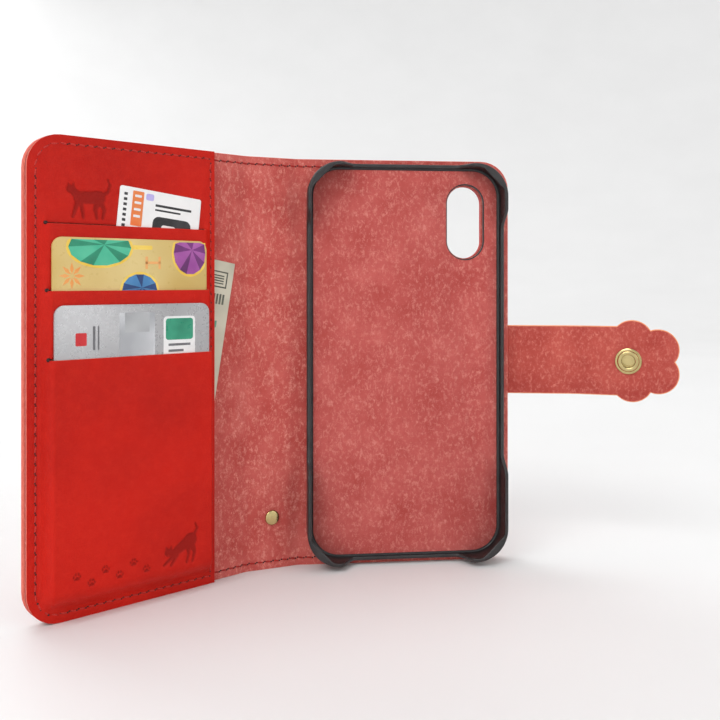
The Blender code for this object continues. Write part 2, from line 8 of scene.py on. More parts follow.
import bmesh
import bpy
import numpy as np
from mathutils import Euler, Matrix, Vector


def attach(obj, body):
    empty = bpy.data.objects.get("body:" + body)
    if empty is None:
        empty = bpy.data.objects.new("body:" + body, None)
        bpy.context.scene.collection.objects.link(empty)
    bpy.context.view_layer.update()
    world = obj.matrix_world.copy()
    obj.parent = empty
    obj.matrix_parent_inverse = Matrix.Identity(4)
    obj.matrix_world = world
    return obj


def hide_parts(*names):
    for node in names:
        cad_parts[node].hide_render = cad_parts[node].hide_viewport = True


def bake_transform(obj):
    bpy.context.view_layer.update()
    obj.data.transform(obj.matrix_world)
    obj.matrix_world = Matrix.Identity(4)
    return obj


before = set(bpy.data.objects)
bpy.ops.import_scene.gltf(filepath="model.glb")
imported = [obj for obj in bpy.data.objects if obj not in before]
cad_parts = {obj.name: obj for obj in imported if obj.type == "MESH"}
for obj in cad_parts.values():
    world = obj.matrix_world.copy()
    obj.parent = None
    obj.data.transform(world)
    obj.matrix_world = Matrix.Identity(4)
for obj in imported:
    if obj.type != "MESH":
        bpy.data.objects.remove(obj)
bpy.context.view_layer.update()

# The model's dimensions
HEIGHT = 0.15
LEAF = 0.08
SPINE = 0.0197
LEATHER = 0.0016
CORNER = 0.0105
SEAM = 0.0027
REST_FOLD = math.radians(17.5)
STRAP_REST = math.radians(12)
STRAP_THICK = 0.0018
STRAP_WIDE = 0.026
BACK_CREASE = -LEAF / 2
FRONT_CREASE = BACK_CREASE - SPINE
MID_SPINE = BACK_CREASE - SPINE / 2
INNER_Y = -LEATHER / 2
OUTER_Y = LEATHER / 2
STRAP_Y = OUTER_Y + 0.0003
STRAP_CREASE = LEAF / 2 + 0.0006
TIP_CREASE = STRAP_CREASE + STRAP_Y - INNER_Y + SPINE + LEATHER + 0.0022
STRAP_ROOT = 0.012
SNAP_INSET = 0.0188
SNAP_X = TIP_CREASE + 0.0006 + SNAP_INSET
STUD_X = FRONT_CREASE - (LEAF - SNAP_INSET)
MIDDLE = HEIGHT / 2
LINING = (0.0019, 0.0026)
BED = (0.00435, 0.0048)
BACKING_FACE = 0.0036
PANEL_NEAR = 0.0146
NEAR_SEAM = PANEL_NEAR + 0.0016
PANEL_THICK = 0.0007
LEVELS = (0.00085, 0.0021, 0.00386, 0.00562)
SLITS = (0.1227, 0.1021, 0.0811)
CARD = (0.054, 0.0856, 0.00076)
CAMERA_WINDOW = (0.023, 0.127, 0.013, 0.027)
PHONE_WIDE, PHONE_HIGH = 0.0714, 0.144
TRAY_MIDDLE, TRAY_WALL, TRAY_LIP, TRAY_ROUND = 0.0005, 0.0012, 0.0131, 0.012
TRAY_SIDE, TRAY_END = 0.007, 0.0058  # the height of the tray's wall at its sides and at its ends
TRAY_FLOOR = (0.0034, 0.0042)
BAR = (MID_SPINE, OUTER_Y + 0.0026, 0.0105)
RING_WIRE = 0.0009

# How wide the bend at each crease is, and how far a cutter reaches on both sides of the case
BEND = 0.008
STRAP_BEND = 0.009
THROUGH = (-0.02, 0.02)


# Folding

def smooth(t):
    t = np.clip(t, 0, 1)
    return t * t * (3 - 2 * t)


def turned(points, pivot, angle):
    """The points turned about a vertical line through pivot (x, y), each by its own angle."""
    dx, dy = points[:, 0] - pivot[0], points[:, 1] - pivot[1]
    c, s = np.cos(angle), np.sin(angle)
    return np.column_stack([pivot[0] + dx * c - dy * s, pivot[1] + dx * s + dy * c, points[:, 2]])


def fold_case(points):
    """Folds the flat case to its place at rest."""
    front = smooth((FRONT_CREASE + BEND / 2 - points[:, 0]) / BEND)
    back = smooth((BACK_CREASE + BEND / 2 - points[:, 0]) / BEND)
    points = turned(points, (FRONT_CREASE, INNER_Y), front * REST_FOLD)
    return turned(points, (BACK_CREASE, INNER_Y), back * REST_FOLD)


def fold_strap(points):
    """Folds the flat strap to its place at rest."""
    tip = smooth((points[:, 0] - TIP_CREASE + STRAP_BEND / 2) / STRAP_BEND)
    edge = smooth((points[:, 0] - STRAP_CREASE + STRAP_BEND / 2) / STRAP_BEND)
    points = turned(points, (TIP_CREASE, STRAP_Y), -tip * STRAP_REST)
    return turned(points, (STRAP_CREASE, STRAP_Y), -edge * STRAP_REST)


def folded_point(fold, x, y):
    return tuple(fold(np.array([[x, y, MIDDLE]]))[0])


def bend_ends(fold, crease, width, y):
    """The points, in the folded model, at which a bend starts and ends."""
    return [folded_point(fold, crease + s * width / 2, y) for s in (-1, 1)]


def inward(depth):
    """The Y of a depth below a cover's outer face."""
    return OUTER_Y - depth


# Making meshes

def new_object(name, mesh, looks):
    obj = bpy.data.objects.new(name, mesh)
    bpy.context.scene.collection.objects.link(obj)
    for look in looks:
        mesh.materials.append(look)
    return obj


def applied(obj):
    """Replaces an object's mesh by the one that its modifiers make."""
    bpy.context.view_layer.update()
    graph = bpy.context.evaluated_depsgraph_get()
    mesh = bpy.data.meshes.new_from_object(obj.evaluated_get(graph))
    obj.modifiers.clear()
    obj.data = mesh
    return obj


def cut_out(obj, outline, y0, y1):
    """Cuts a hole of that outline through an object's mesh."""
    cutter = prism("cutter", outline, y0, y1, [])
    modifier = obj.modifiers.new("hole", "BOOLEAN")
    modifier.operation = "DIFFERENCE"
    modifier.solver = "EXACT"
    modifier.object = cutter
    applied(obj)
    bpy.data.objects.remove(cutter)
    return obj


def bevelled(obj, width, segments=2, by_weight=False):
    """Rounds the edges. Where they are chosen by weight, the rounding takes the second material, a cut edge's."""
    modifier = obj.modifiers.new("bevel", "BEVEL")
    modifier.material = 1 if by_weight else -1
    modifier.width = width
    modifier.segments = segments
    modifier.limit_method = "WEIGHT" if by_weight else "ANGLE"
    modifier.angle_limit = math.radians(50)
    return applied(obj)


def coordinates(mesh):
    points = np.empty(len(mesh.vertices) * 3)
    mesh.vertices.foreach_get("co", points)
    return points.reshape(-1, 3)


def finished(obj, fold=None, press=None, angle=40):
    """Keeps each point's flat place for the materials, then folds the mesh and smooths its shading."""
    mesh = obj.data
    points = coordinates(mesh)
    flat = mesh.attributes.new("flat", "FLOAT_VECTOR", "POINT")
    flat.data.foreach_set("vector", points.ravel())
    if press is not None:
        pressed = mesh.attributes.new("pressed", "FLOAT", "POINT")
        pressed.data.foreach_set("value", press(points[:, 0], points[:, 2]).astype(np.float32))
    if fold is not None:
        mesh.vertices.foreach_set("co", fold(points).ravel())
    mesh.shade_smooth()
    mesh.set_sharp_from_angle(angle=math.radians(angle))
    mesh.update()
    return obj


def full_turn(count):
    return [2 * math.pi * k / count for k in range(count)]


def arc(cx, cz, radius, start, end, steps=8):
    angles = [math.radians(start + (end - start) * i / steps) for i in range(steps + 1)]
    return [(cx + radius * math.cos(a), cz + radius * math.sin(a)) for a in angles]


def rounded(x0, x1, z0, z1, near=0.0, far=0.0, steps=8):
    """A rectangle whose corners at x0 have radius near, and those at x1 radius far."""
    points = []
    corners = ((x0, z0, near, 180, 1, 1), (x1, z0, far, 270, -1, 1),
               (x1, z1, far, 0, -1, -1), (x0, z1, near, 90, 1, -1))
    for x, z, r, start, sx, sz in corners:
        if r:
            points += arc(x + sx * r, z + sz * r, r, start, start + 90, steps)
        else:
            points.append((x, z))
    return points


def tilted(points, cx, cz, degrees):
    c, s = math.cos(math.radians(degrees)), math.sin(math.radians(degrees))
    return [(cx + (x - cx) * c - (z - cz) * s, cz + (x - cx) * s + (z - cz) * c) for x, z in points]


def add_prism(bm, outline, y0, y1, index=0):
    """Adds a closed plate to a bmesh: the outline, as (x, z) points, from y0 to y1."""
    before = len(bm.faces)
    face = bm.faces.new([bm.verts.new((x, y0, z)) for x, z in outline])
    top = bmesh.ops.extrude_face_region(bm, geom=[face])
    moved = [v for v in top["geom"] if isinstance(v, bmesh.types.BMVert)]
    bmesh.ops.translate(bm, verts=moved, vec=(0, y1 - y0, 0))
    bm.faces.ensure_lookup_table()
    added = bm.faces[before:]
    for f in added:
        f.material_index = index
    bmesh.ops.recalc_face_normals(bm, faces=added)


def object_from(bm, name, looks):
    mesh = bpy.data.meshes.new(name)
    bm.to_mesh(mesh)
    bm.free()
    return new_object(name, mesh, looks)


def bridge(bm, rings, closed=False, index=0):
    """Joins each ring of points to the next with faces. A ring of one point closes an end."""
    sides = max(len(ring) for ring in rings)
    for one, two in zip(rings, rings[1:] + rings[:1] if closed else rings[1:]):
        for i in range(sides):
            j = (i + 1) % sides
            corners = [one[i % len(one)], one[j % len(one)], two[j % len(two)], two[i % len(two)]]
            bm.faces.new(list(dict.fromkeys(corners))).material_index = index


def skinned(bm, name, looks):
    """The object that a closed bmesh makes, with its faces turned outwards."""
    bmesh.ops.recalc_face_normals(bm, faces=bm.faces)
    return object_from(bm, name, looks)


def prism(name, outline, y0, y1, looks):
    bm = bmesh.new()
    add_prism(bm, outline, y0, y1)
    return object_from(bm, name, looks)


def steps_between(start, end, coarse, fine=None, zones=()):
    """Grid lines from start to end, closer together inside the zones."""
    found = [start]
    while True:
        here = found[-1]
        step = fine if any(a <= here < b for a, b in zones) else coarse
        if here + step * 1.2 >= end:
            break
        found.append(here + step)
    return np.array(found + [end])


def spaced(lines, gap):
    """The grid lines in order, without those that are too close to the one before."""
    lines = np.unique(np.round(lines, 6))
    return lines[np.concatenate([[True], np.diff(lines) > gap])]


def corner_rows(radius, count=9):
    """Heights inside a rounded corner, closest together at its edge."""
    return radius * (1 - np.cos(np.linspace(0, math.pi / 2, count)))


def rounded_grid(us, zs, width, height, radius):
    """U and Z of a grid whose two corners at u = width are rounded."""
    U, Z = np.meshgrid(us, zs)
    dz = np.minimum(Z, height - Z)
    inside = np.clip(radius - dz, 0, radius)
    reach = width - (radius - np.sqrt(radius ** 2 - inside ** 2))
    hold = width - 2 * radius
    U = np.where(U > hold, hold + (U - hold) * (reach - hold) / (width - hold), U)
    return U, Z


def slab(name, X, Z, front, back, looks, keep=None, plain=None, bevel=0.0003):
    """A sheet on a grid, with Y from front and back. keep says which cells are there.

    plain is the edge that isn't bevelled.
    """
    rows, cols = X.shape
    keep = np.ones((rows - 1, cols - 1), bool) if keep is None else keep
    count = rows * cols
    points = np.concatenate([np.column_stack([X.ravel(), y.ravel(), Z.ravel()]) for y in (front, back)])
    faces, index, seams = [], [], []
    for i, j in np.argwhere(keep):
        a, b, c, d = i * cols + j, i * cols + j + 1, (i + 1) * cols + j + 1, (i + 1) * cols + j
        faces += [(a, b, c, d), (d + count, c + count, b + count, a + count)]
        index += [0, 2]
        for di, dj, p, q in ((-1, 0, a, b), (0, 1, b, c), (1, 0, c, d), (0, -1, d, a)):
            ni, nj = i + di, j + dj
            if 0 <= ni < rows - 1 and 0 <= nj < cols - 1 and keep[ni, nj]:
                continue
            faces.append((q, p, p + count, q + count))
            index.append(1)
            if not (plain == "first" and dj == -1 and j == 0):
                seams += [(p, q), (p + count, q + count)]
    used = sorted({v for f in faces for v in f})
    place = {v: n for n, v in enumerate(used)}
    mesh = bpy.data.meshes.new(name)
    mesh.from_pydata(points[used].tolist(), [], [[place[v] for v in f] for f in faces])
    mesh.polygons.foreach_set("material_index", index)
    weights = mesh.attributes.new("bevel_weight_edge", "FLOAT", "EDGE")
    wanted = {frozenset((place[p], place[q])) for p, q in seams}
    weights.data.foreach_set("value", [float(frozenset(e.vertices) in wanted) for e in mesh.edges])
    bm = bmesh.new()
    bm.from_mesh(mesh)
    bmesh.ops.recalc_face_normals(bm, faces=bm.faces)
    bm.to_mesh(mesh)
    bm.free()
    obj = new_object(name, mesh, looks)
    return bevelled(obj, bevel, 3, True) if bevel else obj


def lathe(name, profile, x, z, look, steps=56):
    """A piece turned about a line along Y through (x, z). profile is (radius, y), and a radius of 0 closes it."""
    bm = bmesh.new()
    rings = []
    for radius, y in profile:
        angles = full_turn(steps)[:steps if radius else 1]
        rings.append([bm.verts.new((x + radius * math.cos(a), y, z + radius * math.sin(a))) for a in angles])
    bridge(bm, rings)
    return skinned(bm, name, [look])


# Materials

class Look:
    """A material, and short ways to add nodes to it."""

    def __init__(self, name, roughness, metallic=0.0, rest="flat"):
        self.material = bpy.data.materials.new(name)
        self.material.use_nodes = True
        self.tree = self.material.node_tree
        self.shader = self.tree.nodes["Principled BSDF"]
        self.shader.inputs["Roughness"].default_value = roughness
        self.shader.inputs["Metallic"].default_value = metallic
        if rest == "flat":
            source = self.node("ShaderNodeAttribute", attribute_name="flat")
            self.place = source.outputs["Vector"]
        else:
            self.place = self.node("ShaderNodeTexCoord").outputs["Object"]
        self.last_bump = None

    def node(self, kind, **settings):
        made = self.tree.nodes.new(kind)
        for key, value in settings.items():
            setattr(made, key, value)
        return made

    def put(self, socket, value):
        """Links a node's output to a socket, or sets the socket. A colour is given as three numbers."""
        if isinstance(value, bpy.types.NodeSocket):
            self.tree.links.new(value, socket)
        else:
            socket.default_value = (*value, 1) if socket.type == "RGBA" else value

    def feed(self, made, **inputs):
        for key, value in inputs.items():
            self.put(made.inputs[key.replace("_", " ")], value)
        return made

    def stretched(self, scale):
        """The place, scaled by a different amount along each axis."""
        mapping = self.node("ShaderNodeMapping")
        return self.feed(mapping, Vector=self.place, Scale=scale).outputs["Vector"]

    def noise(self, scale, detail=3.0, rough=0.55, place=None, distortion=0.0):
        made = self.node("ShaderNodeTexNoise")
        self.feed(made, Vector=place or self.place, Scale=scale, Detail=detail, Roughness=rough,
                  Distortion=distortion)
        return made.outputs["Fac"]

    def cells(self, scale, feature="F1", place=None):
        made = self.node("ShaderNodeTexVoronoi", feature=feature)
        return self.feed(made, Vector=place or self.place, Scale=scale).outputs["Distance"]

    def between(self, value, low, high, to_low=0.0, to_high=1.0):
        made = self.node("ShaderNodeMapRange")
        self.feed(made, Value=value, From_Min=low, From_Max=high, To_Min=to_low, To_Max=to_high)
        return made.outputs["Result"]

    def across(self, *ramps):
        """1 where the place's x is past the end of every ramp, and 0 before any one's start."""
        x = self.feed(self.node("ShaderNodeSeparateXYZ"), Vector=self.place).outputs["X"]
        amount = self.between(x, *ramps[0])
        for ramp in ramps[1:]:
            both = self.node("ShaderNodeMath", operation="MULTIPLY")
            self.put(both.inputs[0], amount)
            self.put(both.inputs[1], self.between(x, *ramp))
            amount = both.outputs[0]
        return amount

    def mixed(self, amount, one, two):
        made = self.node("ShaderNodeMix", data_type="RGBA")
        for place, value in ((0, amount), (6, one), (7, two)):
            self.put(made.inputs[place], value)
        return made.outputs[2]

    def colour(self, value):
        self.put(self.shader.inputs["Base Color"], value)

    def roughness(self, value):
        self.put(self.shader.inputs["Roughness"], value)

    def bump(self, height, distance):
        """Adds a layer of relief, in metres."""
        made = self.node("ShaderNodeBump")
        self.feed(made, Height=height, Distance=distance, Strength=1.0)
        if self.last_bump:
            self.tree.links.new(self.last_bump, made.inputs["Normal"])
        self.last_bump = made.outputs["Normal"]
        self.tree.links.new(self.last_bump, self.shader.inputs["Normal"])


def make_leather(name, base, dark, light, rest="flat", painted_fold_shade=None):
    """Smooth, oiled leather: slow drifts of tone, fine pores, faint scuffs, and darker where it was pressed. The last
    argument, when given, is painted shade: its colour is mixed in across a span of x, standing in for the shade where
    the leather turns round a fold.
    """
    look = Look(name, 0.5, 0.0, rest)
    drift = look.between(look.noise(22, 3, 0.5), 0.36, 0.66)
    tone = look.mixed(drift, dark, base)
    mottle = look.between(look.noise(420, 4, 0.6), 0.42, 0.74)
    tone = look.mixed(look.between(mottle, 0, 1, 0, 0.16), tone, light)
    scuffs = look.between(look.noise(60, 6, 0.7, look.stretched((1, 1, 0.25)), 0.8), 0.62, 0.78, 0, 0.22)
    tone = look.mixed(scuffs, tone, light)
    if rest == "flat":
        pressed = look.node("ShaderNodeAttribute", attribute_name="pressed").outputs["Fac"]
        tone = look.mixed(look.between(pressed, 0, 1, 0, 0.75), tone, tuple(x * 0.42 for x in base))
    # Painted shade: across the given span of x the tone is mixed towards a darker colour, for the shade on the
    # leather's bends.
    if painted_fold_shade is not None:
        tone = look.mixed(look.across(*painted_fold_shade[1:]), tone, painted_fold_shade[0])
    look.colour(tone)
    look.roughness(look.between(look.noise(300, 3), 0.3, 0.7, 0.4, 0.56))
    look.bump(look.noise(80, 3, 0.5), 0.00018)
    look.bump(look.cells(1500), 0.000055)
    look.bump(look.noise(4200, 2), 0.00003)
    look.shader.inputs["Specular IOR Level"].default_value = 0.17
    return look.material


def make_suede(name, base, light, dark, rest="flat"):
    """The flesh side: matted fibres with pale flecks."""
    look = Look(name, 0.95, 0.0, rest)
    patches = look.between(look.noise(70, 4, 0.6), 0.3, 0.7)
    tone = look.mixed(patches, dark, base)
    flecks = look.between(look.noise(700, 5, 0.8, look.stretched((1.2, 1.2, 0.8)), 0.35), 0.5, 0.7, 0, 0.75)
    tone = look.mixed(flecks, tone, light)
    pits = look.between(look.noise(900, 4, 0.7), 0.55, 0.75, 0, 0.45)
    tone = look.mixed(pits, tone, dark)
    look.colour(tone)
    look.bump(look.noise(700, 5, 0.8, look.stretched((1.2, 1.2, 0.8)), 0.35), 0.00035)
    look.bump(look.noise(2600, 3, 0.7), 0.00012)
    look.shader.inputs["Specular IOR Level"].default_value = 0.1
    look.shader.inputs["Sheen Weight"].default_value = 0.12
    look.shader.inputs["Sheen Roughness"].default_value = 0.6
    return look.material


def make_edge(name, base, light):
    """A cut edge: layered fibres, paler than the dyed face."""
    look = Look(name, 0.85)
    layers = look.noise(900, 4, 0.7, look.stretched((0.5, 3.0, 0.5)))
    look.colour(look.mixed(look.between(layers, 0.35, 0.7), base, light))
    look.bump(layers, 0.00012)
    look.bump(look.noise(3000, 3, 0.7), 0.00006)
    return look.material


def make_thread(name, base, dark):
    """Twisted thread, and the shade inside a needle hole."""
    look = Look(name, 0.7)
    strands = look.noise(3200, 2, 0.5, distortion=0.6)
    look.colour(look.mixed(look.between(strands, 0.35, 0.65), dark, base))
    look.bump(strands, 0.00008)
    return look.material


def make_metal(name, base, dark, roughness=0.2, rest="flat"):
    """Polished brass, dulled in patches, with hairline scratches."""
    look = Look(name, roughness, 1.0, rest)
    patina = look.between(look.noise(160, 4, 0.6), 0.45, 0.75, 0, 0.55)
    look.colour(look.mixed(patina, base, dark))
    scratches = look.noise(900, 3, 0.6, look.stretched((1, 1, 6)))
    look.roughness(look.between(scratches, 0.3, 0.7, roughness * 0.7, roughness * 1.5))
    look.bump(scratches, 0.000012)
    return look.material


def make_plastic(name, base, light, roughness, rest="flat"):
    look = Look(name, roughness, 0.0, rest)
    look.colour(look.mixed(look.between(look.noise(240, 3), 0.35, 0.7), base, light))
    look.roughness(look.between(look.noise(700, 3), 0.3, 0.7, roughness * 0.85, roughness * 1.2))
    look.bump(look.noise(3600, 2), 0.00002)
    return look.material


def make_print(name, base, second, roughness=0.35, metallic=0.0, fibres=0.0, scale=130):
    """Ink or card stock, with a slight drift of tone."""
    look = Look(name, roughness, metallic)
    look.colour(look.mixed(look.between(look.noise(scale, 2, 0.4), 0.35, 0.68), base, second))
    look.roughness(look.between(look.noise(500, 3), 0.3, 0.7, roughness * 0.85, roughness * 1.2))
    look.bump(look.noise(2400, 3), 0.00001 + fibres)
    return look.material


RED = (0.53, 0.009, 0.004)
RED_DARK = (0.43, 0.006, 0.003)
RED_LIGHT = (0.72, 0.032, 0.013)
# The outer leather carries painted shade: it darkens over the last 12 mm of each cover towards its crease and stays
# dark across the spine, for the shade where the leather curves round the folds.
leather = make_leather("red_leather", RED, RED_DARK, RED_LIGHT, painted_fold_shade=(
    (0.375, 0.008, 0.006),
    (FRONT_CREASE - 0.013, FRONT_CREASE - 0.001), (BACK_CREASE + 0.013, BACK_CREASE + 0.001)))
panel_leather = make_leather("pocket_leather", (0.57, 0.01, 0.003), (0.45, 0.007, 0.002), (0.76, 0.034, 0.012))
# The strap leather carries painted shade: between its two creases, where it wraps round the case's edge, it is
# painted a darker brown, fading out over about a centimetre on either side.
strap_leather = make_leather("strap_leather", (0.56, 0.011, 0.007), RED_DARK, RED_LIGHT, painted_fold_shade=(
    (0.2, 0.024, 0.015), (TIP_CREASE + 0.01, TIP_CREASE - 0.001), (STRAP_CREASE - 0.009, STRAP_CREASE + 0.002)))
tab_leather = make_leather("tab_leather", RED, RED_DARK, RED_LIGHT, rest="object")
suede = make_suede("pink_suede", (0.62, 0.13, 0.11), (0.86, 0.38, 0.31), (0.47, 0.06, 0.05))
strap_suede = make_suede("strap_suede", (0.56, 0.105, 0.08), (0.76, 0.27, 0.21), (0.4, 0.05, 0.04))
bed_suede = make_suede("bed_suede", (0.56, 0.12, 0.105), (0.74, 0.29, 0.245), (0.42, 0.06, 0.052))
edge = make_edge("cut_edge", (0.64, 0.07, 0.045), (0.86, 0.24, 0.17))
strap_edge_look = make_edge("strap_cut_edge", (0.76, 0.23, 0.11), (0.9, 0.43, 0.24))
outer_thread = make_thread("outer_thread", (0.48, 0.014, 0.009), (0.26, 0.008, 0.005))
inner_thread = make_thread("inner_thread", (0.66, 0.03, 0.02), (0.33, 0.012, 0.008))
# Painted shade: near-black beads, sunk just below each stitch's ends, stand in for the shade inside the needle holes.
hole_shade_look = make_thread("needle_hole_shade", (0.045, 0.006, 0.004), (0.018, 0.003, 0.002))
brass = make_metal("brass", (0.56, 0.45, 0.21), (0.27, 0.2, 0.08), 0.17)
brass_cad = make_metal("brass_fitting", (0.56, 0.45, 0.21), (0.27, 0.2, 0.08), 0.22, rest="object")
ring_brass = make_metal("ring_brass", (0.7, 0.56, 0.29), (0.38, 0.28, 0.12), 0.16)
tray_plastic = make_plastic("tray_plastic", (0.016, 0.015, 0.016), (0.028, 0.026, 0.027), 0.34, rest="object")
film = make_plastic("bond_film", (0.7, 0.67, 0.6), (0.78, 0.75, 0.7), 0.5, rest="object")
backing_cloth = make_suede("backing_cloth", (0.56, 0.12, 0.1), (0.76, 0.3, 0.25), (0.4, 0.06, 0.05), rest="object")


# Pressed motifs, as distances in metres from shapes drawn in millimetres

def ellipse(a, b, cx, cz, rx, rz):
    return (np.hypot((a - cx) / rx, (b - cz) / rz) - 1) * min(rx, rz)


def limb(a, b, x0, z0, x1, z1, r0, r1):
    dx, dz = x1 - x0, z1 - z0
    t = np.clip(((a - x0) * dx + (b - z0) * dz) / (dx * dx + dz * dz), 0, 1)
    return np.hypot(a - x0 - t * dx, b - z0 - t * dz) - (r0 + t * (r1 - r0))


# Each row is an ellipse of four numbers, its centre and radii, or a limb of six, its two ends and two radii.
WALKING_CAT = (
    (-3.2, 0.6, 3.4, 1, 1.9, 2.1), (-3.4, 1, -5.2, 2.7, 1.5, 1.2), (-5.8, 3.1, 1.6, 1.35),
    (-6.5, 4, -6.8, 5.1, 0.5, 0.12), (-5.2, 4.1, -5, 5.2, 0.5, 0.12), (-3.6, -0.4, -5.3, -5.4, 0.9, 0.45),
    (-2.6, -0.8, -1.9, -5.6, 0.8, 0.45), (3.1, -0.2, 2, -2.8, 1.3, 0.7), (2, -2.8, 2.6, -5.6, 0.65, 0.45),
    (3.8, -0.2, 5.1, -3, 1.1, 0.6), (5.1, -3, 4.5, -5.6, 0.6, 0.45), (4.6, 1.8, 6.4, 3, 0.7, 0.5),
    (6.4, 3, 7, 5.2, 0.5, 0.45), (7, 5.2, 6.3, 6.8, 0.45, 0.3))
STRETCHING_CAT = (
    (3.2, 1.7, 2.5, 2.4), (3, 1.8, -2.8, -1.5, 2, 1.4), (-4.8, -1, 1.6, 1.35), (-5.5, -0.1, -5.9, 1, 0.5, 0.12),
    (-4.2, 0, -4, 1.1, 0.5, 0.12), (-2.8, -2.2, -6.6, -4.9, 0.8, 0.45), (-1.8, -2.2, -4, -5.3, 0.8, 0.45),
    (3.6, 0.5, 4.8, -2.4, 1.3, 0.65), (4.8, -2.4, 4, -5.4, 0.6, 0.45), (2.4, 0.2, 2.6, -2.6, 1.2, 0.6),
    (2.6, -2.6, 1.8, -5.4, 0.55, 0.4), (4.6, 3.2, 5.8, 5.2, 0.6, 0.45), (5.8, 5.2, 5, 7, 0.45, 0.3))
PAW = (
    (0.2, -2.7, 2.9, 1.75), (0.2, -1.9, 1.7, 1.6), (-1.7, -3.3, 1.3, 1.15), (2.1, -3.3, 1.3, 1.15),
    (-3.8, 0, 1.05, 1.55), (-1.4, 2.5, 1.15, 1.75), (1.8, 2.4, 1.15, 1.75), (4.2, -0.3, 1.05, 1.55))


def motif(x, z, parts, cx, cz, scale=1.0, soft=0.35):
    """1 inside the motif, 0 outside it, and a soft edge between. Its centre is at (cx, cz)."""
    a, b = (x - cx) * 1000 / scale, (z - cz) * 1000 / scale
    nearest = np.min([(ellipse if len(row) == 4 else limb)(a, b, *row) for row in parts], axis=0) * scale
    return smooth((soft / 2 - nearest) / soft)


def leaf_x(u):
    """The X of a distance from the front crease."""
    return FRONT_CREASE - u


SMALL_PAWS = (
    (0.0663, 0.0145), (0.0616, 0.0118), (0.057, 0.0149), (0.0523, 0.0122), (0.0475, 0.0151), (0.043, 0.0121))


def panel_press(x, z):
    found = [motif(x, z, WALKING_CAT, leaf_x(0.0603), 0.1303), motif(x, z, STRETCHING_CAT, leaf_x(0.03), 0.0165)]
    found += [motif(x, z, PAW, leaf_x(u), at, 0.27, 0.2) for u, at in SMALL_PAWS]
    return np.max(found, axis=0)


def cover_press(x, z):
    return motif(-x, z, PAW, -leaf_x(0.0636), 0.0165)


def edge_distance(u, z, width):
    """How far inside a cover's edge a point is, and whether it is in a rounded corner."""
    a, b = u - (width - CORNER), np.abs(z - MIDDLE) - (MIDDLE - CORNER)
    corner = (a > 0) & (b > 0)
    return np.where(corner, CORNER - np.hypot(a, b), np.minimum(width - u, MIDDLE - np.abs(z - MIDDLE))), corner


def seam_groove(u, z, width):
    """The dip that the thread pulls into the leather along its straight runs."""
    distance, corner = edge_distance(u, z, width)
    return np.where(corner, 0, np.exp(-((distance - SEAM) / 0.0005) ** 2))


# Leather, lining and seams of the two halves

HALF = SPINE / 2 + LEAF
SEAM_ZONES = ((SEAM - 0.0011, SEAM + 0.0009), (HEIGHT - SEAM - 0.0011, HEIGHT - SEAM + 0.0009))


def case_rows(coarse, fine=None, zones=()):
    ends = corner_rows(CORNER)
    middle = steps_between(CORNER, HEIGHT - CORNER, coarse, fine, zones)
    seams = [np.arange(a, b, 0.0004) for a, b in SEAM_ZONES]
    return spaced(np.concatenate([ends, middle, HEIGHT - ends, *seams]), 0.00012)


def half_columns(coarse, fine=None, zones=()):
    bend = (SPINE / 2 - BEND / 2 - 0.0005, SPINE / 2 + BEND / 2 + 0.0005)
    seam = np.arange(HALF - SEAM - 0.0011, HALF - SEAM + 0.0011, 0.0004)
    across = steps_between(0, HALF, coarse, fine, zones)
    return spaced(np.concatenate([across, np.arange(*bend, 0.0005), seam]), 0.00012)


def case_half(name, side, depths, looks, press=None, columns=None, rows=None, hole=None):
    """One half's sheet, from mid-spine to its free edge. side is -1 for the front half and 1 for the back half."""
    U, Z = rounded_grid(columns, rows, HALF, HEIGHT, CORNER)
    X = MID_SPINE + side * U
    shown, hidden = inward(depths[0]), inward(depths[1])
    face = np.full(X.shape, shown)
    away = 1 if hidden > shown else -1
    if press is not None:
        face += away * (0.00032 * press(X, Z) + 0.00013 * seam_groove(U, Z, HALF))
    obj = slab(name, X, Z, face, np.full(X.shape, hidden), looks, plain="first", bevel=0.00035)
    if hole:
        cut_out(obj, hole, *THROUGH)
    finished(obj, fold_case, press)
    crease = FRONT_CREASE if side < 0 else BACK_CREASE
    bend_ends(fold_case, crease, BEND, INNER_Y)
    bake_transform(obj)
    return obj


def window_outline(grow=0.0):
    x, z, wide, high = CAMERA_WINDOW
    half = wide / 2 + grow
    return rounded(x - half, x + half, z - high / 2 - grow, z + high / 2 + grow, half, half, 16)


def no_press(x, z):
    return np.zeros_like(x)


paw_zone = (SPINE / 2 + 0.0575, SPINE / 2 + 0.07)
front_skin = case_half(
    "front_leather", -1, (0, LEATHER), [leather, edge, suede], cover_press,
    half_columns(0.002, 0.00033, (paw_zone,)), case_rows(0.002, 0.00033, ((CORNER, 0.0225),)))
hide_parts("front_cover")
back_skin = case_half(
    "back_leather", 1, (0, LEATHER), [leather, edge, suede], no_press, half_columns(0.002), case_rows(0.0025),
    window_outline())
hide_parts("back_cover", "spine_cover")
front_inside = case_half("front_lining_suede", -1, (LINING[1], LINING[0]), [suede, edge, suede], None,
                         half_columns(0.003), case_rows(0.003))
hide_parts("front_lining")
back_inside = case_half("back_lining_suede", 1, (LINING[1], LINING[0]), [suede, edge, suede], None,
                        half_columns(0.003), case_rows(0.003), window_outline())
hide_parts("back_lining", "spine_lining")


def sample_path(path, pitch, closed=False):
    """Evenly spaced (x, z, direction x, direction z) along a path."""
    points = np.array(path + path[:1] if closed else path)
    lengths = np.hypot(*np.diff(points, axis=0).T)
    along = np.concatenate([[0], np.cumsum(lengths)])
    count = max(1, round(along[-1] / pitch))
    found = []
    for k in range(count):
        s = (k + 0.5) * along[-1] / count
        i = min(np.searchsorted(along, s, "right") - 1, len(lengths) - 1)
        direction = (points[i + 1] - points[i]) / lengths[i]
        found.append((*(points[i] + direction * (s - along[i])), *direction))
    return found


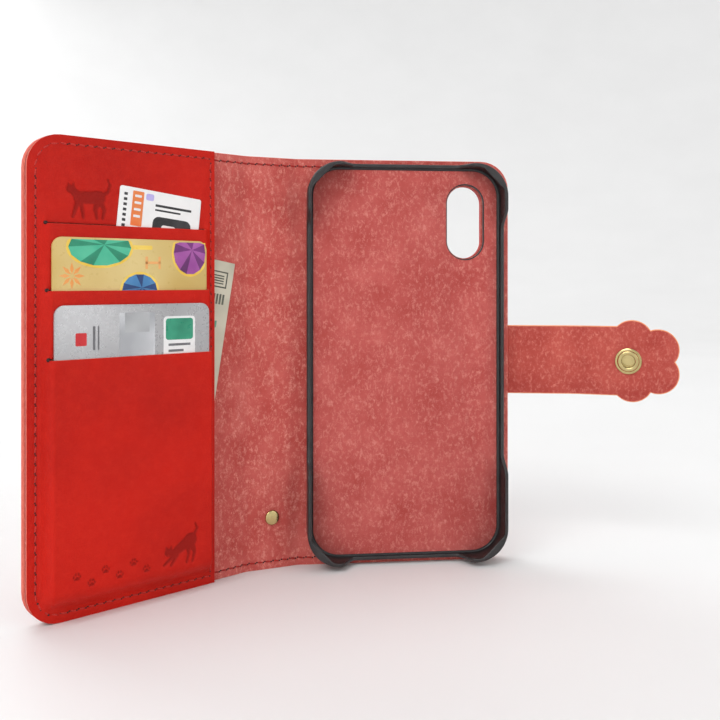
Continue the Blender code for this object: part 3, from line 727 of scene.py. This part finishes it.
def add_bead(bm, centre, along, up, length, radius, index):
    """A rounded, slightly flattened stitch."""
    side = along.cross(up)
    rings = []
    for t in (-1, -0.88, -0.55, 0, 0.55, 0.88, 1):
        r = radius * math.sqrt(max(0, 1 - abs(t) ** 2.6))
        angles = full_turn(8)[:8 if r > 0 else 1]
        middle = centre + along * (t * length / 2)
        rings.append([bm.verts.new(middle + side * (r * math.cos(a)) + up * (0.8 * r * math.sin(a))) for a in angles])
    bridge(bm, rings, index=index)


def stitches(name, runs, thread, fold=fold_case, pitch=0.003):
    """Rows of stitches with a dark bead at each end, painted shade for a needle hole. Each run is (path, y(x, z),
    outward side, closed).
    """
    bm = bmesh.new()
    for path, height, side, closed in runs:
        for x, z, dx, dz in sample_path(path, pitch, closed):
            up = Vector((0, side, 0))
            along = Vector((dx, 0, dz))
            slant = (along + along.cross(up) * 0.13).normalized()
            y = height(x, z) + side * 0.00003
            add_bead(bm, Vector((x, y, z)), slant, up, 0.00215, 0.00033, 0)
            # Painted shade at each end: a near-black bead for the needle hole.
            for end in (-1, 1):
                hole = Vector((x, y - side * 0.00013, z)) + slant * (end * 0.00118)
                add_bead(bm, hole, slant, up, 0.00078, 0.00034, 1)
    return finished(skinned(bm, name, [thread, hole_shade_look]), fold, None, 60)


def half_path(side, start):
    """The seam round one half, from start along the bottom, up the free side and back along the top."""
    r = CORNER - SEAM
    path = [(start, SEAM)] + arc(HALF - CORNER, CORNER, r, 270, 360, 10)
    path += arc(HALF - CORNER, HEIGHT - CORNER, r, 0, 90, 10) + [(start, HEIGHT - SEAM)]
    return [(MID_SPINE + side * u, z) for u, z in path]


def flat_at(y):
    """The height of a run of stitches on a flat face."""
    return lambda x, z: y


def seam_row(x0, x1, z):
    return [(x0, z), (x1, z)]


outer_height, lining_height = flat_at(OUTER_Y - 0.0001), flat_at(inward(LINING[1]))
front_runs = [(half_path(-1, 0.0004), outer_height, 1, False)]
back_path = half_path(1, 0.0004)
clear = STRAP_WIDE / 2 + 0.0006
side_x = LEAF / 2 - SEAM
back_runs = [([p for p in back_path if p[1] < MIDDLE] + [(side_x, MIDDLE - clear)], outer_height, 1, False),
             ([(side_x, MIDDLE + clear)] + [p for p in back_path if p[1] > MIDDLE], outer_height, 1, False)]
for z in (SEAM, HEIGHT - SEAM):
    front_runs.append((seam_row(leaf_x(PANEL_NEAR - 0.0004), MID_SPINE, z), lining_height, -1, False))
    back_runs.append((seam_row(MID_SPINE, -0.0305, z), lining_height, -1, False))
for name, runs, side, bodies, nodes in (
        ("front_stitches", front_runs, -1, ("front_half", "spine"), ("front_seam_thread",)),
        ("back_stitches", back_runs, 1, ("spine", "back_half"), ("back_seam_lower", "back_seam_upper"))):
    sewn = stitches(name, runs, outer_thread)
    crease = FRONT_CREASE if side < 0 else BACK_CREASE
    bend_ends(fold_case, crease, BEND, INNER_Y)
    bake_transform(sewn)
    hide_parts(*nodes)


# Pocket panel

def panel_rise(u, z):
    return smooth((u - 0.0158) / 0.0029) * (1 - smooth((u - 0.0732) / 0.0036)) * smooth((z - 0.0032) / 0.006)


def panel_level(u, z, section):
    """The height of the panel's front above its backing. It steps at each slit, and is smooth beyond its ends."""
    stepped = np.array(LEVELS)[section]
    even = np.full_like(z, LEVELS[3])
    for upper, lower, slit in ((2, 3, SLITS[2]), (1, 2, SLITS[1]), (0, 1, SLITS[0])):
        even += (LEVELS[upper] - LEVELS[lower]) * smooth((z - slit + 0.005) / 0.01)
    beyond = np.maximum(smooth((u - 0.0733) / 0.0014), smooth((0.0189 - u) / 0.0014))
    full = stepped + (even - stepped) * beyond
    level = LEVELS[0] + panel_rise(u, z) * (full - LEVELS[0])
    return level + 0.0001 * np.sin(z * 190 + u * 40) * panel_rise(u, z)


SLIT_HALF = 0.00018
SLIT_NEAR, SLIT_FAR = 0.0188, 0.0744
us = spaced(np.concatenate([
    steps_between(PANEL_NEAR, 0.022, 0.0004), steps_between(0.022, 0.069, 0.00036),
    steps_between(0.069, LEAF, 0.0004), [SLIT_NEAR, SLIT_FAR]]), 0.00005)
zs, sections = [], []
fine_rows = case_rows(0.0016, 0.00034, ((CORNER, 0.024), (0.1233, 0.1378)))
for low, high, section in ((-1, SLITS[2], 3), (SLITS[2], SLITS[1], 2), (SLITS[1], SLITS[0], 1), (SLITS[0], 1, 0)):
    inside = [z for z in fine_rows if low + 0.0006 < z < high - 0.0006]
    inside = ([low + SLIT_HALF] if low > 0 else []) + inside + ([high - SLIT_HALF] if high < 1 else [])
    zs += inside
    sections += [section] * len(inside)
U, Z = rounded_grid(us, np.array(zs), LEAF, HEIGHT, CORNER)
S = np.array(sections)[:, None] * np.ones_like(U, int)
X = leaf_x(U)
level = panel_level(U, Z, S)
marks = panel_press(X, Z)
distance, in_corner = edge_distance(U, Z, LEAF)
sewn_line = np.minimum(np.where(in_corner, 1, np.abs(distance - SEAM)), np.abs(U - NEAR_SEAM))
groove = np.exp(-(sewn_line / 0.00045) ** 2)
front_face = inward(BACKING_FACE + level - 0.0003 * marks - 0.00012 * groove)
present = np.ones((len(zs) - 1, len(us) - 1), bool)
for i in range(len(zs) - 1):
    if sections[i] != sections[i + 1]:
        present[i] = ~((us[:-1] >= SLIT_NEAR - 1e-6) & (us[1:] <= SLIT_FAR + 1e-6))
panel = slab("pocket_leather_panel", X, Z, front_face, inward(BACKING_FACE + level - PANEL_THICK),
             [panel_leather, edge, suede], present, bevel=0.00018)
finished(panel, fold_case, panel_press)
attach(panel, "front_half")
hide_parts("pocket_panel")


def panel_height(x, z):
    u = FRONT_CREASE - x
    section = 3 - sum(z > slit for slit in SLITS)
    level = panel_level(np.array([u]), np.array([z]), np.array([section]))[0]
    return inward(BACKING_FACE + level - 0.00014)


panel_path = half_path(-1, SPINE / 2 + NEAR_SEAM)
side_row = [(leaf_x(NEAR_SEAM), SEAM + 0.0012), (leaf_x(NEAR_SEAM), HEIGHT - SEAM - 0.0012)]
sewn = stitches("pocket_stitches", [(panel_path, panel_height, -1, False), (side_row, panel_height, -1, False)],
                inner_thread)
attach(sewn, "front_half")
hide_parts("pocket_seam_thread")

# Painted shade: a dark bead at the far end of each slit stands in for the shade inside its punched hole.
bm = bmesh.new()
for slit in SLITS:
    centre = Vector((leaf_x(SLIT_FAR), panel_height(leaf_x(SLIT_FAR), slit) - 0.00002, slit))
    add_bead(bm, centre, Vector((1, 0, 0)), Vector((0, -1, 0)), 0.0014, 0.00062, 0)
punched = finished(object_from(bm, "slit_hole_shade", [hole_shade_look]), fold_case)
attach(punched, "front_half")


# What the pockets hold

def card_depths(section, thick):
    far = BACKING_FACE + LEVELS[section] - PANEL_THICK - 0.00015
    return far - thick, far


def printed(name, outline, depths, looks, patches, corner_bevel=0.0001):
    """A flat item with thin printed areas on its front. Each patch is (outline, material index, layer)."""
    item = prism(name, outline, inward(depths[1]), inward(depths[0]), looks)
    bevelled(item, corner_bevel, 2)
    bm = bmesh.new()
    bm.from_mesh(item.data)
    face = inward(depths[1])
    for shape, index, layer in patches:
        add_prism(bm, shape, face - 0.000022 * layer, face + 0.00002, index)
    bm.to_mesh(item.data)
    bm.free()
    return finished(item, fold_case, None, 30)


RIM = 0.0007  # the gold line round each oval


def facets(cx, cz, rx, rz, first, count=14):
    """An oval cut into facets, as a fan of triangles in alternating shades."""
    ring = [(cx + rx * math.cos(a), cz + rz * math.sin(a)) for a in full_turn(count)]
    hub = (cx + rx * 0.12, cz + rz * 0.15)
    shapes = [([(cx + (rx + RIM) * math.cos(a), cz + (rz + RIM) * math.sin(a)) for a in full_turn(40)], 5, 1)]
    for k in range(count):
        shapes.append(([hub, ring[k], ring[(k + 1) % count]], first + (k * 5 % 3 > 0), 2))
    return shapes


def patches(box, rows):
    """Printed patches. Each row is a box and its corner radius, in millimetres, then its ink and its layer."""
    return [(box(x0, x1, z0, z1, radius / 1000), ink, layer) for x0, x1, z0, z1, radius, ink, layer in rows]


CARD_NEAR = 0.0191
left, right = leaf_x(CARD_NEAR + CARD[0]), leaf_x(CARD_NEAR)
gold_top, silver_top = SLITS[1] + 0.0164, SLITS[2] + 0.0164


def on_gold(x0, x1, z0, z1, radius, top=gold_top):
    """A patch on a card, in millimetres from its top left corner. z runs down."""
    return rounded(left + x0 / 1000, left + x1 / 1000, top - z1 / 1000, top - z0 / 1000, radius, radius, 4)


def on_silver(*box):
    return on_gold(*box, top=silver_top)


def clipped(shapes, x0, x1, z0, z1):
    """The shapes, with their points held inside a rectangle."""
    held = []
    for outline, index, layer in shapes:
        points = [(min(max(x, x0), x1), min(max(z, z0), z1)) for x, z in outline]
        points = [p for k, p in enumerate(points) if p != points[k - 1]]
        area = sum(a[0] * b[1] - b[0] * a[1] for a, b in zip(points, points[1:] + points[:1]))
        if len(points) > 2 and abs(area) > 2e-8:
            held.append((points, index, layer))
    return held


gold_looks = [make_print(*row) for row in (
    ("gold_card_face", (0.58, 0.4, 0.115), (0.7, 0.54, 0.22), 0.3, 0.0, 0.0, 40),
    ("gem_green", (0.01, 0.2, 0.11), (0.02, 0.34, 0.19), 0.2),
    ("gem_green_light", (0.03, 0.42, 0.25), (0.11, 0.56, 0.35), 0.2),
    ("gem_violet", (0.11, 0.012, 0.12), (0.21, 0.03, 0.22), 0.2),
    ("gem_violet_light", (0.29, 0.05, 0.29), (0.42, 0.11, 0.4), 0.2),
    ("gold_ink", (0.78, 0.5, 0.04), (0.9, 0.65, 0.12), 0.3),
    ("gem_blue", (0.008, 0.03, 0.12), (0.015, 0.07, 0.24), 0.2),
    ("gem_blue_light", (0.03, 0.15, 0.38), (0.07, 0.26, 0.52), 0.2),
    ("orange_ink", (0.8, 0.3, 0.06), (0.85, 0.42, 0.14), 0.35))]
art = facets(left + 0.0155, gold_top - 0.003, 0.0105, 0.0058, 1)
art += facets(left + 0.0475, gold_top - 0.0042, 0.0062, 0.0072, 3)
art += facets(left + 0.029, gold_top - 0.0165, 0.0062, 0.0052, 6)
art = clipped(art, left + 0.0006, right - 0.0006, gold_top - 0.06, gold_top - 0.0006)
for k in range(8):
    petal = [(0.0005, 0.0), (0.0022, 0.0006), (0.0042, 0.0), (0.0022, -0.0006)]
    petal = [(left + 0.0062 + x, gold_top - 0.012 + z) for x, z in petal]
    art.append((tilted(petal, left + 0.0062, gold_top - 0.012, 45 * k), 8, 1))
art += patches(on_gold, (
    (26.5, 33.5, 2, 3.4, 0.5, 5, 1), (31, 36.5, 7.2, 8, 0, 8, 1), (31, 31.9, 5.6, 9.6, 0, 8, 1),
    (35.7, 36.5, 5.6, 9.6, 0, 8, 1)))
card_outline = rounded(left, right, gold_top - CARD[1], gold_top, 0.0032, 0.0032, 8)
gold = printed("gold_card", card_outline, card_depths(2, CARD[2]), gold_looks, art, 0.00012)
silver_looks = [make_print(*row) for row in (
    ("silver_card_face", (0.3, 0.3, 0.31), (0.47, 0.47, 0.48), 0.28, 0.35, 0.0, 26),
    ("foil_light", (0.7, 0.71, 0.73), (0.4, 0.41, 0.43), 0.16, 0.6, 0.0, 60),
    ("foil_dark", (0.26, 0.27, 0.28), (0.48, 0.49, 0.5), 0.16, 0.6, 0.0, 60),
    ("white_ink", (0.85, 0.85, 0.85), (0.78, 0.78, 0.78), 0.3),
    ("green_ink", (0.012, 0.23, 0.13), (0.04, 0.37, 0.22), 0.3),
    ("red_ink", (0.56, 0.012, 0.018), (0.66, 0.03, 0.035), 0.3),
    ("grey_ink", (0.12, 0.12, 0.13), (0.18, 0.18, 0.19), 0.3))]
art = patches(on_silver, (
    (21, 33.5, 2.6, 40, 0.6, 1, 1), (23, 31.5, 2.6, 9, 0, 2, 2), (36.6, 48.4, 4.2, 30, 1.2, 3, 1),
    (37.4, 47.6, 4.9, 12, 1, 4, 2), (38.4, 46.6, 13.2, 14, 0, 6, 2), (38.4, 44, 15.2, 16, 0, 6, 2),
    (6.6, 10.2, 8.6, 12.6, 0.4, 5, 1), (12.2, 13, 6.6, 14, 0.2, 6, 1), (13.8, 14.3, 6.6, 14, 0.2, 6, 1)))
card_outline = rounded(left, right, silver_top - CARD[1], silver_top, 0.0032, 0.0032, 8)
silver = printed("silver_card", card_outline, card_depths(3, CARD[2]), silver_looks, art, 0.00012)

TICKET_TOP, TICKET_X = 0.1345, leaf_x(0.0385)
ticket_looks = [make_print(*row) for row in (
    ("ticket_paper", (0.86, 0.85, 0.84), (0.8, 0.79, 0.79), 0.6, 0.0, 0.00002),
    ("ticket_orange", (0.85, 0.16, 0.03), (0.78, 0.22, 0.06), 0.6),
    ("ticket_black", (0.02, 0.02, 0.022), (0.045, 0.045, 0.048), 0.6),
    ("ticket_violet", (0.36, 0.3, 0.72), (0.5, 0.45, 0.8), 0.6))]


def on_ticket(x0, x1, z0, z1, radius=0.0):
    shape = rounded(TICKET_X - 0.015 + x0 / 1000, TICKET_X - 0.015 + x1 / 1000,
                    TICKET_TOP - z1 / 1000, TICKET_TOP - z0 / 1000, radius, radius, 4)
    return tilted(shape, TICKET_X, TICKET_TOP - 0.033, -6)


art = patches(on_ticket, (
    (4.6, 8.6, 1, 12.4, 0.3, 1, 1), (13, 26.5, 4.2, 5, 0, 2, 1), (13, 22.5, 5.8, 6.4, 0, 2, 1),
    (12.5, 26.8, 8.2, 22, 2.2, 2, 1), (15.8, 21, 10.8, 20, 0.8, 0, 2), (9.4, 12.2, 1.2, 3.4, 0.6, 3, 1)))
art += [(on_ticket(1.6, 2.8, 2.0 + 1.7 * k, 2.9 + 1.7 * k, 0.0001), 2, 1) for k in range(9)]
art += [(on_ticket(5.4, 7.8, 2.2 + 2.2 * k, 3.0 + 2.2 * k, 0.0002), 0, 2) for k in range(4)]
ticket_outline = tilted(
    rounded(TICKET_X - 0.015, TICKET_X + 0.015, TICKET_TOP - 0.066, TICKET_TOP, 0.0008, 0.0008, 3),
    TICKET_X, TICKET_TOP - 0.033, -6)
ticket = printed("paper_ticket", ticket_outline, card_depths(1, 0.00025), ticket_looks, art, 0.00004)

note_x, note_z = leaf_x(0.0052), 0.111
note_looks = [make_print(*row) for row in (
    ("note_paper", (0.62, 0.59, 0.47), (0.51, 0.49, 0.39), 0.8, 0.0, 0.00003),
    ("note_ink", (0.085, 0.09, 0.07), (0.15, 0.155, 0.12), 0.8),
    ("note_green", (0.11, 0.33, 0.22), (0.17, 0.42, 0.29), 0.8))]


def on_note(x0, x1, z0, z1, radius=0.0):
    """A patch on the note, in millimetres from its top right corner. x runs left and z down."""
    shape = rounded(note_x - x1 / 1000, note_x - x0 / 1000, note_z - z1 / 1000, note_z - z0 / 1000, radius, radius)
    return tilted(shape, note_x, note_z, -10)


art = patches(on_note, (
    (2.2, 12, 3.6, 4.1, 0, 1, 1), (2.2, 2.7, 3.6, 9.4, 0, 1, 1), (2.2, 12, 8.9, 9.4, 0, 1, 1)))
art += [(on_note(3.6, 12.0, 5.0 + 0.9 * k, 5.45 + 0.9 * k), 1, 1) for k in range(4)]
art += [(on_note(2.4 + 1.25 * k, 3.2 + 1.25 * k, 11.6, 15.2), 1, 1) for k in range(6)]
art += [(on_note(4.0 + 1.5 * k, 4.8 + 1.5 * k, 21.0, 23.4), 2, 1) for k in range(5)]
art += [(on_note(4.4, 14.0, 28.0 + 1.1 * k, 28.4 + 1.1 * k), 1, 1) for k in range(4)]
art += [(on_note(5.5, 16.0, 35.0 + 1.3 * k, 35.8 + 1.3 * k), 1, 1) for k in range(14)]
note_outline = tilted(rounded(note_x - 0.052, note_x, note_z - 0.066, note_z), note_x, note_z, -10)
note = printed("folded_note", note_outline, (0.0028, 0.003), note_looks, art, 0.00004)
for item, owner, node in ((gold, "upper_card", "card_gold"), (silver, "lower_card", "card_silver"),
                          (ticket, "ticket", "ticket"), (note, "note", "banknote")):
    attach(item, owner)
    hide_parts(node)


# Strap

def crossing(a, b):
    dx, dz = b[0] - a[0], b[1] - a[1]
    apart = math.hypot(dx, dz)
    along = (a[2] ** 2 - b[2] ** 2 + apart ** 2) / (2 * apart)
    off = math.sqrt(a[2] ** 2 - along ** 2)
    return (a[0] + (along * dx - off * dz) / apart, a[1] + (along * dz + off * dx) / apart)


def petal_arc(circle, start, end, steps=22):
    a = math.degrees(math.atan2(start[1] - circle[1], start[0] - circle[0]))
    b = math.degrees(math.atan2(end[1] - circle[1], end[0] - circle[0]))
    return arc(*circle, a, b - 360 if b > a else b, steps)


def flower(start):
    """The strap from x = start to its four petals."""
    side, end = (0.0208, 0.0077, 0.0076), (0.03, 0.0045, 0.0075)
    half = STRAP_WIDE / 2
    first = (side[0] - math.sqrt(side[2] ** 2 - (half - side[1]) ** 2), half)
    notch = crossing(side, end)
    tip = (end[0] + math.sqrt(end[2] ** 2 - end[1] ** 2), 0.0)
    upper = petal_arc(side, first, notch) + petal_arc(end, notch, tip)[1:]
    lower = [(x, -z) for x, z in reversed(upper[:-1])]
    points = [(TIP_CREASE + x, MIDDLE + z) for x, z in upper + lower]
    return [(start, MIDDLE + half)] + points + [(start, MIDDLE - half)]


def strip(name, outline, crease, plain_x, looks, hole=None):
    """A leather strip, cut across near its crease so that it can bend, and not bevelled where x is plain_x."""
    bm = bmesh.new()
    add_prism(bm, outline, STRAP_Y, STRAP_Y + STRAP_THICK)
    for x in np.arange(crease - STRAP_BEND / 2 - 0.0006, crease + STRAP_BEND / 2 + 0.0007, 0.0006):
        bmesh.ops.bisect_plane(bm, geom=bm.verts[:] + bm.edges[:] + bm.faces[:], dist=1e-6,
                               plane_co=(x, 0, 0), plane_no=(1, 0, 0))
    for f in bm.faces:
        f.material_index = 1 if abs(f.normal.y) < 0.5 else (0 if f.normal.y > 0 else 2)
    obj = object_from(bm, name, looks)
    if hole:
        cut_out(obj, hole, 0, 0.02)
    mesh = obj.data
    faces_at = {}
    for f in mesh.polygons:
        for key in f.edge_keys:
            faces_at.setdefault(key, []).append(abs(f.normal.y) < 0.5)
    weights = mesh.attributes.get("bevel_weight_edge") or mesh.attributes.new("bevel_weight_edge", "FLOAT", "EDGE")
    values = []
    for e in mesh.edges:
        plain = all(abs(mesh.vertices[v].co.x - plain_x) < 1e-5 for v in e.vertices)
        values.append(float(not plain and sorted(faces_at.get(e.key, ())) == [False, True]))
    weights.data.foreach_set("value", values)
    bevelled(obj, 0.00032, 3, True)
    return finished(obj, fold_strap, None, 35)


mid_edge = (STRAP_CREASE + TIP_CREASE) / 2
half_wide = STRAP_WIDE / 2
root_outline = rounded(STRAP_ROOT, mid_edge, MIDDLE - half_wide, MIDDLE + half_wide, 0.006, 0.0, 12)
strap_looks = [strap_leather, strap_edge_look, strap_suede]
root = strip("strap_root_leather", root_outline, STRAP_CREASE, mid_edge, strap_looks)
tip = strip("strap_flower_leather", flower(mid_edge), TIP_CREASE, mid_edge, strap_looks,
            arc(SNAP_X, MIDDLE, 0.0032, 0, 350, 35))
for piece, crease, bodies in ((root, STRAP_CREASE, ("back_half", "strap_middle")),
                              (tip, TIP_CREASE, ("strap_middle", "strap_end"))):
    bend_ends(fold_strap, crease, STRAP_BEND, STRAP_Y)
    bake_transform(piece)
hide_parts("strap_root")
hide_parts("strap_edge", "strap_tip")

inset = 0.0025
seam_path = rounded(STRAP_ROOT + inset, LEAF / 2 - 0.0046, MIDDLE - half_wide + inset, MIDDLE + half_wide - inset,
                    0.0035, 0.001, 5)
sewn = stitches("strap_stitches", [(seam_path, flat_at(STRAP_Y + STRAP_THICK - 0.0001), 1, True)],
                outer_thread, fold_strap)
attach(sewn, "back_half")
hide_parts("strap_root_thread")


def raised(base, profile):
    """A profile drawn in millimetres, as (radius, height above base)."""
    return [(radius / 1000, base + height / 1000) for radius, height in profile]


face = STRAP_Y + STRAP_THICK + 0.00015
dome = [(6.4 * math.sin(a), 0.8 + 2.6 * math.cos(a)) for a in np.linspace(0, math.pi / 2, 14)]
dome[0] = (0, dome[0][1])
cap = lathe("snap_cap_dome", raised(face, dome + [
    (6.4, 0.4), (6.32, 0.15), (6.15, 0), (2.9, 0), (2.9, -1.85), (2.4, -1.85), (2.4, 1.2), (0, 1.2)]),
            SNAP_X, MIDDLE, brass)
socket = lathe("snap_socket_ring", raised(STRAP_Y - 0.00015, [
    (2.4, 0), (4.8, 0), (4.8, -0.28), (4.62, -0.42), (4, -0.48), (3.75, -0.9), (3.5, -1.08), (2.9, -1.1),
    (2.55, -1), (2.4, -0.8), (2.4, 0)]), SNAP_X, MIDDLE, brass)
stud = lathe("snap_stud_ball", raised(OUTER_Y + 0.00015, [
    (0, 1.4), (1.4, 1.4), (1.4, 0), (4.4, 0), (4.5, 0.1), (4.5, 0.25), (4.3, 0.4), (3.6, 0.5), (1.9, 0.7),
    (1.6, 0.9), (1.9, 1.2), (2.1, 1.5), (2, 1.9), (1.6, 2.2), (1, 2.35), (0, 2.37)]), STUD_X, MIDDLE, brass)
inside_y = inward(LINING[1]) - 0.00015
head_y = OUTER_Y + 2 * 0.0011 + 2 * 0.0003 + 0.00015 + 0.0001
foot = raised(inside_y, [(0, -0.6), (2.2, -0.6), (2.6, -0.4), (2.7, -0.1), (2.7, 0), (1.2, 0)])
head = raised(head_y, [(1.2, 0), (2.6, 0), (2.7, 0.1), (2.6, 0.4), (2.2, 0.7), (1.4, 1), (0.7, 1.15), (0, 1.2)])
rivet = lathe("tab_rivet_dome", foot + head, MID_SPINE, 0.0186, brass, 40)
for piece, owner, node, fold in (
        (cap, "strap_end", "snap_cap", fold_strap), (socket, "strap_end", "snap_socket", fold_strap),
        (stud, "front_half", "snap_stud", fold_case), (rivet, "spine", "tab_rivet", fold_case)):
    finished(piece, fold, None, 50)
    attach(piece, owner)
    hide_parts(node)


# D-ring

def d_ring():
    """A D of round wire, from its straight bar to the loop below it."""
    radius, drop, sides = 0.0062, 0.0086, 14
    bend = [(radius * math.cos(a), -drop * math.sin(a)) for a in np.linspace(0.12, math.pi - 0.12, 40)]
    bar = [(x, 0.0) for x in np.linspace(-radius + 0.0013, radius - 0.0013, 8)]
    centre = np.array(bend + [(-radius + 0.0004, -0.0004)] + bar + [(radius - 0.0004, -0.0004)])
    tangent = np.roll(centre, -1, 0) - np.roll(centre, 1, 0)
    tangent /= np.linalg.norm(tangent, axis=1)[:, None]
    bm = bmesh.new()
    rings = []
    for (x, z), (tx, tz) in zip(centre, tangent):
        rings.append([bm.verts.new((BAR[0] + x - tz * RING_WIRE * math.cos(a), BAR[1] + RING_WIRE * math.sin(a),
                                    BAR[2] + z + tx * RING_WIRE * math.cos(a))) for a in full_turn(sides)])
    bridge(bm, rings, closed=True)
    return skinned(bm, "brass_d_ring", [ring_brass])


ring = finished(d_ring(), fold_case, None, 80)
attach(ring, "ring")
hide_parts("d_ring")


# Tray and its bed

def tray_height(x, z):
    """How far the tray's wall stands: high round the corners, low at the sides and lowest at the ends."""
    side = smooth((abs(z - 0.0825) - 0.0425) / 0.0065)
    end = smooth((abs(x - TRAY_MIDDLE) - 0.019) / 0.006)
    low = TRAY_SIDE if abs(x - TRAY_MIDDLE) > 0.03 else TRAY_END
    return low + (TRAY_LIP - low) * min(side, end)


def tray_overhang(x, z, nx, nz):
    """How far the lip reaches in over the phone, which it does at the corners."""
    beyond = abs(x - TRAY_MIDDLE) + abs(z - MIDDLE) - (PHONE_WIDE + PHONE_HIGH) / 2 + 0.0085
    return 0.00018 + 0.95 * max(0.0, beyond / (abs(nx) + abs(nz)))


def tray_outline(half_x, half_z, radius, steps):
    return rounded(TRAY_MIDDLE - half_x, TRAY_MIDDLE + half_x, MIDDLE - half_z, MIDDLE + half_z,
                   radius, radius, steps)


def tray_walls():
    """The tray's wall and the edge of its floor, as one section carried round the outline."""
    outline = tray_outline(PHONE_WIDE / 2 + TRAY_WALL, PHONE_HIGH / 2 + TRAY_WALL, TRAY_ROUND, 24)
    bm = bmesh.new()
    rings = []
    for x, z, dx, dz in sample_path(outline, 0.0009, True):
        nx, nz = -dz, dx
        high = tray_height(x, z)
        reach = TRAY_WALL + tray_overhang(x + nx * TRAY_WALL, z + nz * TRAY_WALL, nx, nz)
        section = [(0.0026, 0.00345), (0.0006, 0.0034), (0.00018, 0.00355), (0, 0.004), (0, high - 0.0006),
                   (0.00006, high - 0.0003), (0.00022, high - 0.0001), (0.00048, high), (reach - 0.0003, high),
                   (reach - 0.00008, high - 0.00012), (reach, high - 0.0003), (reach - 0.00006, high - 0.00046),
                   (min(reach, TRAY_WALL + 0.0002) - 0.0001, high - 0.0007), (TRAY_WALL, high - 0.001),
                   (TRAY_WALL, 0.0046), (TRAY_WALL + 0.0001, 0.0044), (TRAY_WALL + 0.0004, 0.00425),
                   (0.0026, 0.00415)]
        rings.append([bm.verts.new((x + nx * t, inward(depth), z + nz * t)) for t, depth in section])
    bridge(bm, rings, closed=True)
    return skinned(bm, "tray_walls", [tray_plastic])


walls = tray_walls()
plate = prism("tray_floor", tray_outline(PHONE_WIDE / 2 - 0.0004, PHONE_HIGH / 2 - 0.0004, 0.0104, 14),
              inward(TRAY_FLOOR[1]), inward(TRAY_FLOOR[0]), [tray_plastic])
cut_out(plate, window_outline(0.0004), *THROUGH)
bevelled(plate, 0.0001)
for piece, angle in ((walls, 50), (plate, 30)):
    finished(piece, None, None, angle)
    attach(piece, "back_half")
    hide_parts("phone_tray")

bed = prism("tray_bed_suede", tray_outline(0.0345, 0.071, 0.0095, 14), inward(BED[1]), inward(BED[0]), [bed_suede])
cut_out(bed, window_outline(0.0008), *THROUGH)
bevelled(bed, 0.0001)
finished(bed)
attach(bed, "back_half")
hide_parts("tray_lining")


def refinish(node, look, width=0.0, segments=2):
    """Gives a CAD node its own material and softer edges."""
    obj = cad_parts[node]
    obj.data.materials.clear()
    obj.data.materials.append(look)
    if width:
        modifier = obj.modifiers.new("soft_edges", "BEVEL")
        modifier.width = width
        modifier.segments = segments
        modifier.limit_method = "ANGLE"
        modifier.angle_limit = math.radians(40)
        modifier.harden_normals = True


refinish("tray_bond_pad", film)
refinish("ring_tab", tab_leather, 0.00025, 3)
refinish("snap_post", brass_cad)
refinish("pocket_backing", backing_cloth, 0.0001)
for number in (1, 2, 3):
    refinish(f"card_pocket_{number}", backing_cloth)


# Stage, lights and camera

STAGE_SIDES = 96


def stage_material():
    look = Look("pale_floor", 0.6, 0.0, "object")
    look.colour(look.mixed(look.between(look.noise(6, 2), 0.3, 0.7), (0.8, 0.8, 0.8), (0.82, 0.82, 0.82)))
    return look.material


def sweep():
    """A round floor that curves up into a backdrop on every side."""
    bm = bmesh.new()
    profile = [(0.6, 0.0), (1.2, 0.0)] + [(1.2 + 2.0 * math.sin(a), 2.0 - 2.0 * math.cos(a))
                                          for a in np.linspace(0.06, math.pi / 2, 20)] + [(3.2, 6.0)]
    rows = [[bm.verts.new((r * math.cos(a), r * math.sin(a), z - 0.00005)) for a in full_turn(STAGE_SIDES)]
            for r, z in profile]
    bm.faces.new(rows[0])
    bridge(bm, rows)
    finished(skinned(bm, "floor_sweep", [stage_material()]))


sweep()
target = Vector((-0.02, -0.02, 0.075))
for name, place, size, power in (
        ("key", (-1.55, -2.15, 2.45), (2.0, 1.5), 46), ("fill", (1.65, -1.45, 1.3), (1.3, 1.6), 8),
        ("top", (0.0, 0.45, 3.0), (2.7, 1.8), 26), ("rim", (-1.4, 2.0, 1.8), (1.8, 1.5), 18)):
    light = bpy.data.lights.new(name, "AREA")
    light.shape = "RECTANGLE"
    light.size, light.size_y = size
    light.energy = power
    obj = bpy.data.objects.new(name, light)
    bpy.context.scene.collection.objects.link(obj)
    obj.location = place
    obj.rotation_euler = (target - Vector(place)).to_track_quat("-Z", "Y").to_euler()
world = bpy.data.worlds.new("studio")
world.use_nodes = True
world.node_tree.nodes["Background"].inputs["Color"].default_value = (1, 1, 1, 1)
world.node_tree.nodes["Background"].inputs["Strength"].default_value = 0.5
bpy.context.scene.world = world
bpy.context.scene.view_settings.view_transform = "Standard"

camera = bpy.data.cameras.new("camera")
camera.lens = 44.0
camera.shift_y = -0.11
camera_object = bpy.data.objects.new("camera", camera)
bpy.context.scene.collection.objects.link(camera_object)
camera_object.location = (-0.0524, -0.3276, 0.105)
camera_object.rotation_euler = Euler((math.radians(90), 0, math.radians(-6.3)))
bpy.context.scene.camera = camera_object
